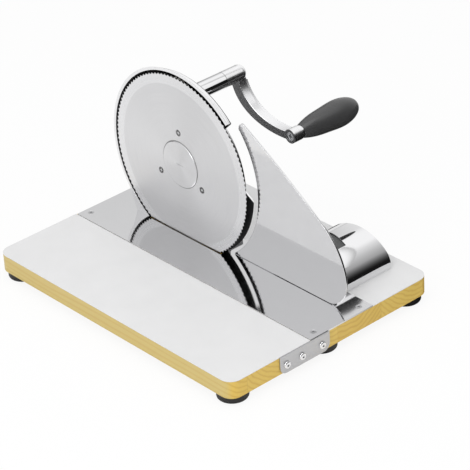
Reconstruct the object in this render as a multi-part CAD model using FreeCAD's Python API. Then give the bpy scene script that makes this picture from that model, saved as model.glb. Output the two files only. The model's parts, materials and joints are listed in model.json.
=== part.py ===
# Hand-cranked bread slicer: a board with a steel track, a toothed round blade in an open housing,
# a two-gear crank drive behind the blade, and a thickness gauge that slides on two rods.
# Sizes are in millimetres. While the pieces are drawn, the zero point is the front left corner of the
# board's top face: +X points to the crank, +Y away from the user and +Z up. The saved pieces are moved
# so that the zero point is the middle of the whole slicer's footprint, on the surface it stands on.
import FreeCAD, Part
import math
import os

V = FreeCAD.Vector

# Board
board_width = 262.0
board_depth = 346.0
board_thickness = 20.0
board_corner_radius = 13.0
board_edge_chamfer = 1.0
laminate_thickness = 0.8
laminate_gap = 0.3

# Feet
foot_radius = 15.5
foot_height = 8.0
foot_inset = 17.0
foot_edge_round = 2.5

# Steel track, laid in a shallow groove
track_left = 102.0
track_width = 82.0
track_thickness = 1.5
track_rise = 0.7
track_rear_gap = 2.0
track_screw_inset_x = 11.0
track_screw_inset_y = 8.0

# Edge plate on the front of the board
edge_plate_reach = 41.0
edge_plate_width = 64.0
edge_plate_height = 19.6
edge_plate_thickness = 1.5
edge_plate_round = 8.0
edge_screw_offsets = (8.5, 28.2, 54.1)
edge_screw_drop = 11.0
edge_screw_dome = 1.8
edge_screw_head_radius = 3.3

# Blade
blade_radius = 96.5
blade_thickness = 1.6
blade_bevel_width = 11.0
blade_edge_thickness = 0.3
blade_tooth_count = 120
blade_tooth_depth = 1.7
blade_centre_hole_radius = 10.0
blade_from_track_left = 46.5
blade_axis_y = 230.0
blade_depth_in_board = 14.5
blade_slot_margin = 1.2
blade_sink_gap = 1.5
blade_screw_circle_radius = 35.25
blade_cap_radius = 25.0
blade_cap_thickness = 0.9

# Gears: the crank gear stands straight above the blade gear, inside the housing's rim
gear_rim_gap = 4.375
blade_gear_teeth = 55
crank_gear_teeth = 25
gear_pressure_angle = math.radians(20.0)
gear_backlash = 0.16
gear_root_clearance = 0.25
gear_width = 6.0
gear_web_thickness = 3.0
gear_hub_radius = 13.0
gear_rim_width = 6.0
gear_boss_radius = 4.5
crank_gear_width = 4.5
crank_gear_face_gap = 1.0

# Housing around the blade
housing_wall = 2.2
housing_plate_thickness = 2.0
housing_front_gap = 0.8
housing_gear_gap = 1.4
housing_blade_gap = 1.5
housing_cut_angle = 136.0
housing_recess_depth = 14.0
housing_shoulder_start_angle = 181.5
housing_shoulder_end_angle = 187.3
housing_back_round = 8.5
housing_inner_round = 6.7
housing_leg_angle = 35.7
housing_leg_reach = 74.7

# Bearings
shaft_clearance = 0.04
seat_clearance = 0.02
spigot_clearance = 0.08
blade_shaft_radius = 5.0
blade_bush_radius = 7.0
bearing_flange_radius = 20.0
bearing_flange_thickness = 4.0
bearing_tube_radius = 10.0
bearing_tube_length = 12.0
flange_first_screw_angle = 30.0
crank_shaft_radius = 4.0
crank_bush_radius = 6.0
crank_bush_length = 14.0
crank_tube_radius = 8.5
crank_tube_reach = 60.5
crank_flange_radius = 17.0

# Crank arm and handle
crank_hub_gap = 0.3
arm_face_setback = 17.0
arm_width = 11.5
arm_edge_round = 3.0
arm_face_round = 0.7
arm_upper_side = ((-5.0, -4.0), (-21.9, -27.4), (-45.0, -36.8), (-76.0, -37.2))
arm_lower_side = ((7.4, -3.0), (-6.0, -29.7), (-36.8, -44.4), (-76.0, -46.2))
arm_boss_radius = 7.5
arm_boss_drop = 41.6
arm_boss_reach = 77.2
handle_length = 76.0
handle_neck_radius = 7.0
handle_largest_radius = 14.1
handle_pin_radius = 4.0
handle_swell = ((0.0, 1.0), (0.20, 0.42), (0.45, 0.12), (0.72, 0.0))
handle_end_swell = (0.93, 0.66)
ferrule_length = 3.0
ferrule_step = 0.4

# Gauge plate
gauge_setting = 9.5
gauge_largest_setting = 18.0
gauge_thickness = 2.0
gauge_gap_to_track = 0.5
gauge_blade_gap = 5.8
gauge_arc_middle_angle = 180.5
gauge_arc_end_angle = 141.0
gauge_tip_bulge = (5.2, 139.2)
gauge_tip_corner = (9.5, 139.8)
gauge_slope_bulge = 2.0
gauge_front_top = (41.4, 86.8)
gauge_front_bulge = (16.5, 59.8)
gauge_front_middle = (8.6, 35.0)
gauge_corner_bulge = (14.6, 11.8)
gauge_bottom_start_y = 31.0

# Cover over the gauge's slide
cover_centre_y = 77.5
cover_half_width = 42.0
cover_height = 30.0
cover_side_radius = 20.0
cover_side_straight = 2.0
cover_sheet = 1.2
cover_lap_on_track = 11.0
cover_length = 72.0
cover_window_front_y = 64.5
cover_window_rear_y = 96.0
cover_window_front_length = 39.6
cover_window_rear_length = 47.8
cover_screw_left_inset = 24.0
cover_screw_right_inset = 14.0
cover_flange_width = 12.0
flange_relief = 0.5
flange_top_gap = 0.1
cover_cap_thickness = 3.0

# Slide inside the cover
saddle_gap = 0.5
saddle_wall = 2.6
saddle_reach = 53.0
saddle_low_z = 5.5
saddle_rib_count = 4
saddle_rib_pitch = 5.0
saddle_rib_width = 1.6
saddle_rib_height = 0.4
saddle_rib_side_gap = 3.0
saddle_first_rib_reach = 9.0
finger_reach = 25.0
finger_end_round = 0.72
finger_thickness = 1.6
finger_width = 6.0
finger_gap = 0.3
rod_radius = 4.0
rod_spacing = 44.0
rod_height = 9.0
rod_end_gap = 0.3
cap_space = 1.0
block_height = 15.0
block_length = 8.0
block_margin = 4.0
block_round = 3.0
block_reach = 5.0
block_spacing = 39.0
bed_thickness = 3.0
rack_width = 8.0
rack_height = 6.0
rack_pitch = 2.0
rack_tooth_height = 1.0
bracket_thickness = 3.0
bracket_margin = 5.0
bracket_round = 9.0
bracket_top_z = 25.0

# Screws: shank radius, head radius and head height
small_screw = (1.5, 2.9, 1.4)
medium_screw = (2.0, 3.6, 2.2)
screw_hole_gap = 0.2

# Screws that hold the cover, the guide bed, the stand, the feet and the bearings
under_head_depth = 3.0
under_head_radius = 4.2
cover_nut_height = 3.0
cover_nut_half_width = 3.5
bed_thread_depth = 9.0
bed_screw_spread = 10.0
stand_depth = 20.0
stand_thickness = 3.0
stand_height = 26.0
stand_half_width = 52.0
stand_screw_spread = 44.0
stand_bolt_spread = 38.0
stand_bolt_z = 18.0
stand_screw_edge = 7.0
stand_inner_round = 2.0
wood_screw_length = 16.0
thread_end_gap = 1.0
track_screw_length = 9.0
foot_screw_length = 12.0
blade_bearing_screw_circle = 15.0
crank_bearing_screw_circle = 12.5

# Cap in the middle of the blade and the end of the blade's shaft
cap_stem_radius = 3.0
cap_stem_length = 12.0
cap_bore_spare = 2.0
cap_slot_length = 9.5
cap_slot_width = 1.2
cap_edge_slope = 0.6
shaft_ring_thickness = 1.2
shaft_ring_width = 2.5
shaft_ring_opening = 70.0
shaft_groove_depth = 0.8
thrust_gap = 0.2
shaft_front_sink = 0.5
shaft_end_length = 1.8

# Crank hub and handle pin
shaft_flat_drop = 1.0
shaft_depth_in_hub = 22.0
grub_radius = 2.0
grub_seat_depth = 0.8
grub_inset_in_hub = 8.0
grub_sink = 0.6
grub_socket_depth = 1.5
hub_end_round = 7.0
pin_head_radius = 4.6
pin_head_depth = 3.0
pin_head_sink = 0.6
pin_head_gap = 0.4
pin_slot_depth = 1.4
pin_thread_radius = 3.0
pin_groove_depth = 0.7
pin_groove_width = 2.4
pin_groove_from_end = 5.0
pin_share_of_handle = 0.8
sleeve_wall = 1.8

# Studs on the gauge plate
stud_radius = 2.0
stud_spread = 12.0
stud_height = 17.5
nut_height = 2.4
nut_half_width = 3.4
stud_end_length = 1.0

# Worked-out places
board_bottom_z = -board_thickness
floor_z = board_bottom_z - foot_height
track_top_z = track_rise
track_bottom_z = track_rise - track_thickness
track_right = track_left + track_width
edge_plate_left = track_left - edge_plate_reach
blade_face_x = track_left + blade_from_track_left
blade_axis_z = blade_radius - blade_depth_in_board
blade_back_x = blade_face_x + blade_thickness
gear_back_x = blade_back_x + gear_width
plate_front_x = gear_back_x + housing_gear_gap
plate_back_x = plate_front_x + housing_plate_thickness
housing_front_x = blade_face_x - housing_front_gap
housing_inner_radius = blade_radius + housing_blade_gap
housing_outer_radius = housing_inner_radius + housing_wall
housing_recess_radius = housing_inner_radius - housing_recess_depth
gear_module = (housing_inner_radius - gear_rim_gap) / (blade_gear_teeth / 2 + crank_gear_teeth + 1)
gear_distance = gear_module * (blade_gear_teeth + crank_gear_teeth) / 2
crank_axis_y = blade_axis_y
crank_axis_z = blade_axis_z + gear_distance
crank_gear_front_x = blade_back_x + crank_gear_face_gap
crank_gear_back_x = crank_gear_front_x + crank_gear_width
flange_back_x = plate_back_x + bearing_flange_thickness
crank_tube_end_x = blade_face_x + crank_tube_reach
hub_front_x = crank_tube_end_x + crank_hub_gap
arm_face_x = crank_tube_end_x + arm_face_setback
arm_back_x = arm_face_x + arm_width
handle_axis_y = crank_axis_y - arm_boss_reach
handle_axis_z = crank_axis_z - arm_boss_drop
handle_start_x = arm_back_x + ferrule_length
handle_tip_x = handle_start_x + handle_length
gauge_face_x = blade_face_x + gauge_setting
gauge_back_x = gauge_face_x + gauge_thickness
gauge_arc_radius = blade_radius + gauge_blade_gap
gauge_bottom_z = track_top_z + gauge_gap_to_track
bracket_back_x = gauge_back_x + bracket_thickness
wall_back_x = bracket_back_x + saddle_wall
gauge_travel_out = gauge_largest_setting - gauge_setting
cover_left_x = track_right - cover_lap_on_track
cover_right_x = cover_left_x + cover_length
cover_window_front_x = cover_left_x + cover_window_front_length
cover_window_rear_x = cover_left_x + cover_window_rear_length
saddle_right_x = cover_left_x + saddle_reach
saddle_first_rib_x = cover_left_x + saddle_first_rib_reach
finger_x = cover_left_x + finger_reach
front_block_x = cover_left_x + block_reach
rear_block_x = front_block_x + block_spacing
cover_screw_spread = cover_half_width - cover_sheet - cover_flange_width / 2
cover_screw_ys = (cover_centre_y - cover_screw_spread, cover_centre_y + cover_screw_spread)
cover_screw_xs = (cover_left_x + cover_screw_left_inset, cover_right_x - cover_screw_right_inset)
bed_screw_ys = (cover_centre_y - bed_screw_spread, cover_centre_y + bed_screw_spread)
bed_screw_xs = (front_block_x + block_length / 2, rear_block_x + block_length / 2)
stand_screw_x = plate_back_x + stand_depth - stand_screw_edge
stand_screw_ys = (blade_axis_y - stand_screw_spread, blade_axis_y + stand_screw_spread)
stand_bolt_ys = (blade_axis_y - stand_bolt_spread, blade_axis_y + stand_bolt_spread)
blade_shaft_front_x = blade_face_x + shaft_front_sink
blade_bush_end_x = flange_back_x + bearing_tube_length
shaft_ring_x = blade_bush_end_x + thrust_gap
blade_shaft_end_x = shaft_ring_x + shaft_ring_thickness + shaft_end_length
grub_x = hub_front_x + grub_inset_in_hub
pin_end_x = handle_start_x + pin_share_of_handle * handle_length
pin_groove_x = pin_end_x - pin_groove_from_end
stud_places = [(cover_centre_y + side * stud_spread, stud_height) for side in (-1, 1)]
front_reach = edge_plate_thickness + edge_screw_dome
part_origin = V(handle_tip_x / 2, (board_depth - front_reach) / 2, floor_z)


# Simple solids

def box(x0, x1, y0, y1, z0, z1):
    return Part.makeBox(x1 - x0, y1 - y0, z1 - z0, V(x0, y0, z0))


def rod_x(x0, x1, y, z, radius):
    return Part.makeCylinder(radius, x1 - x0, V(x0, y, z), V(1, 0, 0))


def rod_y(y0, y1, x, z, radius):
    return Part.makeCylinder(radius, y1 - y0, V(x, y0, z), V(0, 1, 0))


def rod_z(z0, z1, x, y, radius):
    return Part.makeCylinder(radius, z1 - z0, V(x, y, z0), V(0, 0, 1))


def ring_x(x0, x1, y, z, outer, inner):
    return rod_x(x0, x1, y, z, outer).cut(rod_x(x0, x1, y, z, inner))


def join(shapes):
    whole = shapes[0]
    if len(shapes) > 1:
        whole = whole.multiFuse(shapes[1:])
    return whole.removeSplitter()


def turned_x(points, y, z):
    # A solid of revolution about an axis along X, from points of (x, radius).
    outline = [V(x, 0, radius) for x, radius in points]
    outline.append(outline[0])
    face = Part.Face(Part.makePolygon(outline))
    solid = face.revolve(V(0, 0, 0), V(1, 0, 0), 360)
    solid.translate(V(0, y, z))
    return solid


def extruded_x(edges, x0, x1):
    face = Part.Face(Part.Wire(edges))
    solid = face.extrude(V(x1 - x0, 0, 0))
    solid.translate(V(x0, 0, 0))
    return solid


def around(y, z, radius, degrees):
    # A point on a circle about an axis along X, measured from +Y towards +Z.
    angle = math.radians(degrees)
    return V(0, y + radius * math.cos(angle), z + radius * math.sin(angle))


def line(a, b):
    return Part.LineSegment(a, b).toShape()


def arc(a, middle, b):
    return Part.Arc(a, middle, b).toShape()


# Screws, with the head's underside at the given place

def cross_recess(place, direction, head, depth):
    # The crossed driver slots in a screw's head, sunk from the place along the direction.
    along = V(direction)
    side = V(0, 0, 1).cross(along) if abs(along.z) < 0.5 else V(1, 0, 0)
    other = along.cross(side)
    half = 0.55 * head
    width = 0.14 * head
    slots = []
    for a, b in ((side, other), (other, side)):
        corners = [place + a * half + b * width, place - a * half + b * width,
                   place - a * half - b * width, place + a * half - b * width]
        corners.append(corners[0])
        slots.append(Part.Face(Part.makePolygon(corners)).extrude(along * depth))
    return join(slots)


def pan_screw(place, direction, length, size):
    # The shank points along the direction and the low round head lies behind it.
    shank, head, height = size
    body = Part.makeCylinder(shank, length, place, direction)
    back = V(direction).multiply(-1)
    base = Part.makeCylinder(head, height / 2, place, back)
    top_place = place + V(back).multiply(height / 2)
    top = Part.makeCone(head, head * 0.55, height / 2, top_place, back)
    head_face = top_place + V(back).multiply(height / 2)
    return join([body, base, top]).cut(cross_recess(head_face, direction, head * 0.8, height * 0.6))


def flush_screw(place, direction, length, size):
    # A countersunk screw: the place is the middle of the flush face.
    shank, head, height = size
    body = Part.makeCylinder(shank, length, place, direction)
    cone = Part.makeCone(head, shank, height, place, direction)
    return join([body, cone]).cut(cross_recess(place, direction, head, height * 0.6))


def sunk_hole(place, direction, length, size):
    shank, head, height = size
    hole = Part.makeCylinder(shank + screw_hole_gap, length, place, direction)
    gap = screw_hole_gap
    cone = Part.makeCone(head + gap, shank + gap, height, place, direction)
    return join([hole, cone])


# Board, laminate and track

def foot_places():
    xs = (foot_inset, board_width / 2, board_width - foot_inset)
    ys = (foot_inset, board_depth - foot_inset)
    return [(x, y) for y in ys for x in xs]


def track_screw_places():
    xs = (track_left + track_screw_inset_x, track_right - track_screw_inset_x)
    ys = (track_screw_inset_y, board_depth - track_rear_gap - track_screw_inset_y)
    return [(x, y) for y in ys for x in xs]


def board_blank(z0, z1):
    blank = box(0, board_width, 0, board_depth, z0, z1)
    uprights = [e for e in blank.Edges if abs(e.Vertexes[0].Z - e.Vertexes[-1].Z) > (z1 - z0) / 2]
    return blank.makeFillet(board_corner_radius, uprights)


def blade_pocket(margin, z0, z1):
    # The space that the blade's lowest part turns in, open to the top.
    half = math.sqrt(housing_inner_radius ** 2 - (blade_axis_z - track_bottom_z) ** 2) + margin
    x0 = blade_face_x - margin
    x1 = blade_back_x + margin
    return box(x0, x1, blade_axis_y - half, blade_axis_y + half, z0, z1)


def under_screw_places():
    # Screws that come up through the board: the cover's four, then the guide bed's four.
    cover = [(x, y) for x in cover_screw_xs for y in cover_screw_ys]
    bed = [(x, y) for x in bed_screw_xs for y in bed_screw_ys]
    return cover, bed


def under_hole(x, y, top):
    shank = medium_screw[0] + screw_hole_gap
    hole = rod_z(board_bottom_z, top, x, y, shank)
    recess = rod_z(board_bottom_z, board_bottom_z + under_head_depth, x, y, under_head_radius)
    return join([hole, recess])


def make_board():
    core = board_blank(board_bottom_z, -laminate_thickness)
    low_edges = [e for e in core.Edges if e.BoundBox.ZMax < board_bottom_z + 0.01]
    core = core.makeChamfer(board_edge_chamfer, low_edges)
    groove = box(track_left, track_right, 0, board_depth, track_bottom_z, 0)
    tools = [groove]
    blade_low_z = blade_axis_z - blade_radius - blade_sink_gap
    tools.append(blade_pocket(2 * blade_slot_margin, blade_low_z, 0))
    cover_places, bed_places = under_screw_places()
    for x, y in cover_places + bed_places:
        tools.append(under_hole(x, y, 0))
    for x, y in track_screw_places():
        depth = track_top_z - track_screw_length
        tools.append(rod_z(depth, 0, x, y, small_screw[0] + seat_clearance))
    for y in stand_screw_ys:
        depth = track_top_z + stand_thickness - wood_screw_length
        tools.append(rod_z(depth, 0, stand_screw_x, y, medium_screw[0] + seat_clearance))
    for x, y in foot_places():
        tools.append(rod_z(board_bottom_z, board_bottom_z + foot_screw_length, x, y,
                           small_screw[0] + seat_clearance))
    for offset in edge_screw_offsets:
        x = edge_plate_left + offset
        hole = rod_y(0, wood_screw_length, x, -edge_screw_drop, small_screw[0] + seat_clearance)
        tools.append(hole)
    return core.cut(tools)


def make_laminates():
    sheet = board_blank(-laminate_thickness, 0)
    left = sheet.common(box(0, track_left - laminate_gap, 0, board_depth, -laminate_thickness, 0))
    right = sheet.common(box(track_right + laminate_gap, board_width, 0, board_depth,
                             -laminate_thickness, 0))
    cover_places, bed_places = under_screw_places()
    holes = []
    for x, y in cover_places + bed_places:
        holes.append(rod_z(-laminate_thickness, 0, x, y, medium_screw[0] + screw_hole_gap))
    return left, right.cut(holes)


def make_track():
    strip = box(track_left, track_right, 0, board_depth - track_rear_gap, track_bottom_z, track_top_z)
    tools = [blade_pocket(blade_slot_margin, track_bottom_z, track_top_z)]
    down = V(0, 0, -1)
    for x, y in track_screw_places():
        tools.append(sunk_hole(V(x, y, track_top_z), down, track_thickness, small_screw))
    for y in stand_screw_ys:
        tools.append(rod_z(track_bottom_z, track_top_z, stand_screw_x, y,
                           medium_screw[0] + screw_hole_gap))
    for x, y in under_screw_places()[1]:
        if x - under_head_radius < track_right:
            hole = rod_z(track_bottom_z, track_top_z, x, y, medium_screw[0] + screw_hole_gap)
            tools.append(hole)
    return strip.cut(tools)


def make_track_screws():
    down = V(0, 0, -1)
    return [flush_screw(V(x, y, track_top_z), down, track_screw_length, small_screw)
            for x, y in track_screw_places()]


def make_edge_plate():
    left = edge_plate_left
    right = left + edge_plate_width
    low = -edge_plate_height
    plate = box(left, right, -edge_plate_thickness, 0, low, 0)
    corners = [e for e in plate.Edges
               if abs(e.Vertexes[0].Y - e.Vertexes[-1].Y) > edge_plate_thickness / 2
               and e.Vertexes[0].Z < low / 2]
    plate = plate.makeFillet(edge_plate_round, corners)
    holes = [rod_y(-edge_plate_thickness, 0, left + offset, -edge_screw_drop,
                   small_screw[0] + screw_hole_gap) for offset in edge_screw_offsets]
    return plate.cut(holes)


def make_edge_screws():
    screws = []
    for offset in edge_screw_offsets:
        place = V(edge_plate_left + offset, -edge_plate_thickness, -edge_screw_drop)
        size = (small_screw[0], edge_screw_head_radius, edge_screw_dome)
        screws.append(pan_screw(place, V(0, 1, 0), wood_screw_length, size))
    return screws


def make_feet():
    feet = []
    for x, y in foot_places():
        foot = rod_z(floor_z, board_bottom_z, x, y, foot_radius)
        low_edge = [e for e in foot.Edges if e.BoundBox.ZMax < floor_z + foot_height / 2]
        foot = foot.makeFillet(foot_edge_round, low_edge)
        recess = rod_z(floor_z, floor_z + foot_height / 2, x, y, small_screw[1] + 2 * screw_hole_gap)
        hole = rod_z(floor_z, board_bottom_z, x, y, small_screw[0] + screw_hole_gap)
        feet.append(foot.cut([recess, hole]))
    return feet


def make_foot_screws():
    screws = []
    head_z = floor_z + foot_height / 2
    length = board_bottom_z - head_z + foot_screw_length - thread_end_gap
    for x, y in foot_places():
        screws.append(pan_screw(V(x, y, head_z), V(0, 0, 1), length, small_screw))
    return screws


# Gears

def involute_point(base_radius, radius, turn, side):
    roll = math.sqrt(max((radius / base_radius) ** 2 - 1, 0))
    angle = turn + side * (roll - math.atan(roll))
    return radius, angle


def gear_edges(teeth, y, z, first_tooth_degrees):
    # The closed outline of a spur gear in the plane across X. Each flank is an arc on its involute.
    pitch = gear_module * teeth / 2
    base = pitch * math.cos(gear_pressure_angle)
    tip = pitch + gear_module
    root = pitch - gear_module * (1 + gear_root_clearance)
    flank_foot = max(base, root)
    inv = math.tan(gear_pressure_angle) - gear_pressure_angle
    half_tooth = math.pi / (2 * teeth) - gear_backlash / (2 * pitch)
    edges = []
    step = 2 * math.pi / teeth

    def place(radius, angle):
        return V(0, y + radius * math.cos(angle), z + radius * math.sin(angle))

    for number in range(teeth):
        centre = math.radians(first_tooth_degrees) + number * step
        rising = centre - half_tooth - inv
        falling = centre + half_tooth + inv
        radii = (flank_foot, (flank_foot + tip) / 2, tip)
        up = [place(*involute_point(base, r, rising, 1)) for r in radii]
        down = [place(*involute_point(base, r, falling, -1)) for r in reversed(radii)]
        edges.append(arc(up[0], up[1], up[2]))
        edges.append(arc(up[2], place(tip, centre), down[0]))
        edges.append(arc(down[0], down[1], down[2]))
        foot_up = involute_point(base, flank_foot, rising, 1)[1]
        foot_down = involute_point(base, flank_foot, falling, -1)[1]
        next_up = foot_up + step
        if root < base:
            edges.append(line(down[2], place(root, foot_down)))
            root_middle = place(root, centre + step / 2)
            edges.append(arc(place(root, foot_down), root_middle, place(root, next_up)))
            edges.append(line(place(root, next_up), place(base, next_up)))
        else:
            edges.append(arc(down[2], place(root, centre + step / 2), place(root, next_up)))
    return Part.sortEdges(edges)[0]


def blade_screw_places(x):
    places = []
    for number in range(3):
        spot = around(blade_axis_y, blade_axis_z, blade_screw_circle_radius, 90 + 120 * number)
        places.append(V(x, spot.y, spot.z))
    return places


def make_blade_gear():
    edges = gear_edges(blade_gear_teeth, blade_axis_y, blade_axis_z, 90)
    gear = extruded_x(edges, blade_back_x, gear_back_x)
    rim_radius = gear_module * blade_gear_teeth / 2 - gear_rim_width
    web_back_x = blade_back_x + gear_web_thickness
    recess = ring_x(web_back_x, gear_back_x, blade_axis_y, blade_axis_z, rim_radius, gear_hub_radius)
    bosses = [rod_x(web_back_x, gear_back_x, p.y, p.z, gear_boss_radius) for p in blade_screw_places(0)]
    gear = gear.cut(recess.cut(bosses))
    spigot_x = blade_face_x + seat_clearance
    spigot = rod_x(spigot_x, blade_back_x, blade_axis_y, blade_axis_z,
                   blade_centre_hole_radius - spigot_clearance)
    gear = join([gear, spigot])
    bore = rod_x(spigot_x, gear_back_x, blade_axis_y, blade_axis_z,
                 blade_shaft_radius + seat_clearance)
    threads = [rod_x(blade_back_x, gear_back_x, p.y, p.z, small_screw[0] + seat_clearance)
               for p in blade_screw_places(0)]
    return gear.cut([bore] + threads)


def make_crank_gear():
    first = 270 + 180 / crank_gear_teeth
    edges = gear_edges(crank_gear_teeth, crank_axis_y, crank_axis_z, first)
    gear = extruded_x(edges, crank_gear_front_x, crank_gear_back_x)
    return gear.cut(flatted_rod(crank_gear_front_x, crank_gear_back_x, seat_clearance))


def flatted_rod(x0, x1, gap):
    # The crank shaft's section with one flat, which drives the gear.
    full = rod_x(x0, x1, crank_axis_y, crank_axis_z, crank_shaft_radius + gap)
    flat_z = crank_axis_z + crank_shaft_radius - shaft_flat_drop + gap
    top = box(x0, x1, crank_axis_y - crank_tube_radius, crank_axis_y + crank_tube_radius,
              flat_z, crank_axis_z + crank_tube_radius)
    return full.cut(top)


# Blade and what turns with it

def make_blade():
    # A disc with a ground bevel on its front face and shallow scallops between sharp points.
    edge_x = blade_back_x - blade_edge_thickness
    bevel_radius = blade_radius - blade_bevel_width
    disc = turned_x([(blade_face_x, 0), (blade_face_x, bevel_radius), (edge_x, blade_radius),
                     (blade_back_x, blade_radius), (blade_back_x, 0)], blade_axis_y, blade_axis_z)
    step = 360 / blade_tooth_count
    edges = []
    low_radius = blade_radius - blade_tooth_depth
    for number in range(blade_tooth_count):
        start = around(blade_axis_y, blade_axis_z, blade_radius, number * step)
        valley = around(blade_axis_y, blade_axis_z, low_radius, (number + 0.5) * step)
        end = around(blade_axis_y, blade_axis_z, blade_radius, (number + 1) * step)
        edges.append(arc(start, valley, end))
    toothed = extruded_x(edges, blade_face_x, blade_back_x)
    disc = disc.common(toothed)
    tools = [rod_x(blade_face_x, blade_back_x, blade_axis_y, blade_axis_z, blade_centre_hole_radius)]
    for place in blade_screw_places(blade_face_x):
        tools.append(sunk_hole(place, V(1, 0, 0), blade_thickness, small_screw))
    return disc.cut(tools)


def make_blade_screws():
    length = blade_thickness + gear_width - thread_end_gap
    places = blade_screw_places(blade_face_x)
    return [flush_screw(p, V(1, 0, 0), length, small_screw) for p in places]


def make_blade_cap():
    front_x = blade_face_x - blade_cap_thickness
    slope = cap_edge_slope
    points = [(front_x, 0), (front_x, blade_cap_radius - slope), (front_x + slope, blade_cap_radius),
              (blade_face_x, blade_cap_radius), (blade_face_x, 0)]
    disc = turned_x(points, blade_axis_y, blade_axis_z)
    stem_end_x = blade_face_x + cap_stem_length
    stem = rod_x(blade_face_x, stem_end_x, blade_axis_y, blade_axis_z, cap_stem_radius)
    half = cap_slot_length / 2
    width = cap_slot_width / 2
    slot = box(front_x, front_x + blade_cap_thickness / 2, blade_axis_y - half, blade_axis_y + half,
               blade_axis_z - width, blade_axis_z + width)
    return join([disc, stem]).cut(slot)


def make_blade_shaft():
    y = blade_axis_y
    z = blade_axis_z
    shaft = rod_x(blade_shaft_front_x, blade_shaft_end_x, y, z, blade_shaft_radius)
    bore_end_x = blade_face_x + cap_stem_length + cap_bore_spare
    bore = rod_x(blade_shaft_front_x, bore_end_x, y, z, cap_stem_radius + seat_clearance)
    groove = ring_x(shaft_ring_x, shaft_ring_x + shaft_ring_thickness, y, z,
                    blade_shaft_radius + shaft_groove_depth, blade_shaft_radius - shaft_groove_depth)
    return shaft.cut([bore, groove])


def open_ring(x, y, z, inner, outer, gap_degrees):
    # A spring ring pressed into a shaft's groove, open on one side.
    ring = ring_x(x, x + shaft_ring_thickness - seat_clearance, y, z, outer, inner)
    far = 2 * outer
    spread = far * math.tan(math.radians(gap_degrees / 2))
    wedge = [V(0, y, z), V(0, y - spread, z - far), V(0, y + spread, z - far), V(0, y, z)]
    cutter = Part.Face(Part.makePolygon(wedge)).extrude(V(2 * shaft_ring_thickness, 0, 0))
    cutter.translate(V(x - shaft_ring_thickness / 2, 0, 0))
    return ring.cut(cutter)


def make_blade_shaft_ring():
    return open_ring(shaft_ring_x + seat_clearance / 2, blade_axis_y, blade_axis_z,
                     blade_shaft_radius - shaft_groove_depth + seat_clearance,
                     blade_shaft_radius + shaft_ring_width, shaft_ring_opening)


# Housing, its stand and the two bearings

def flange_screw_places(y, z, circle):
    return [around(y, z, circle, flange_first_screw_angle + 120 * number) for number in range(3)]


def housing_outline(radius):
    # The rim's circle, which meets the track on the user's side and has a straight leg at the rear.
    foot_z = track_top_z
    rear = around(blade_axis_y, blade_axis_z, radius, -housing_leg_angle)
    top = around(blade_axis_y, blade_axis_z, radius, 90)
    rear_foot = V(0, blade_axis_y + housing_leg_reach, foot_z)
    front_reach_y = math.sqrt(radius ** 2 - (blade_axis_z - foot_z) ** 2)
    front_foot = V(0, blade_axis_y - front_reach_y, foot_z)
    return [arc(rear, top, front_foot), line(front_foot, rear_foot), line(rear_foot, rear)]


def cutting_side(x0, x1):
    # What is taken from the back plate so that the slice can pass: the sector that the blade leads.
    y = blade_axis_y
    z = blade_axis_z
    far = 2 * housing_outer_radius
    middle_angle = (housing_cut_angle + housing_shoulder_start_angle) / 2
    inner_start = around(y, z, housing_recess_radius, housing_cut_angle)
    inner_middle = around(y, z, housing_recess_radius, middle_angle)
    inner_end = around(y, z, housing_recess_radius, housing_shoulder_start_angle)
    shoulder = around(y, z, housing_outer_radius + housing_wall, housing_shoulder_end_angle)
    low = around(y, z, far, housing_shoulder_end_angle)
    high = around(y, z, far, housing_cut_angle)
    edges = [arc(inner_start, inner_middle, inner_end), line(inner_end, shoulder), line(shoulder, low),
             line(low, high), line(high, inner_start)]
    return extruded_x(edges, x0, x1)


def slice_side(x0, x1):
    # In front of the back plate nothing stands on the user's side of the blade.
    y = blade_axis_y
    z = blade_axis_z
    far = 3 * housing_outer_radius
    corner = around(y, z, far, housing_cut_angle)
    low = -board_thickness
    points = [V(x0, y, z), V(x0, corner.y, corner.z), V(x0, y - far, low), V(x0, y, low), V(x0, y, z)]
    return Part.Face(Part.makePolygon(points)).extrude(V(x1 - x0, 0, 0))


def make_housing():
    # A bright tub, rounded at the back, with a plain collar towards the blade.
    body = extruded_x(housing_outline(housing_outer_radius), housing_front_x, plate_back_x)
    back_edges = [e for e in body.Edges if e.BoundBox.XMin > plate_back_x - 0.01
                  and e.BoundBox.ZMax > track_top_z + 1.0]
    body = body.makeFillet(housing_back_round, back_edges)
    recess = rod_x(housing_front_x, plate_front_x, blade_axis_y, blade_axis_z, housing_inner_radius)
    deep_edges = [e for e in recess.Edges if e.BoundBox.XMin > plate_front_x - 0.01]
    recess = recess.makeFillet(housing_inner_round, deep_edges)
    tools = [recess, slice_side(housing_front_x, plate_front_x)]
    tools.append(cutting_side(plate_front_x, plate_back_x))
    tools.append(rod_x(plate_front_x, plate_back_x, blade_axis_y, blade_axis_z,
                       blade_bush_radius + seat_clearance))
    tools.append(rod_x(plate_front_x, plate_back_x, crank_axis_y, crank_axis_z,
                       crank_bush_radius + seat_clearance))
    spots = flange_screw_places(blade_axis_y, blade_axis_z, blade_bearing_screw_circle)
    spots += flange_screw_places(crank_axis_y, crank_axis_z, crank_bearing_screw_circle)
    for spot in spots:
        place = V(plate_front_x, spot.y, spot.z)
        tools.append(sunk_hole(place, V(1, 0, 0), housing_plate_thickness, small_screw))
    for y in stand_bolt_ys:
        tools.append(rod_x(plate_front_x, plate_back_x, y, stand_bolt_z,
                           medium_screw[0] + screw_hole_gap))
    return body.cut(tools)


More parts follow.
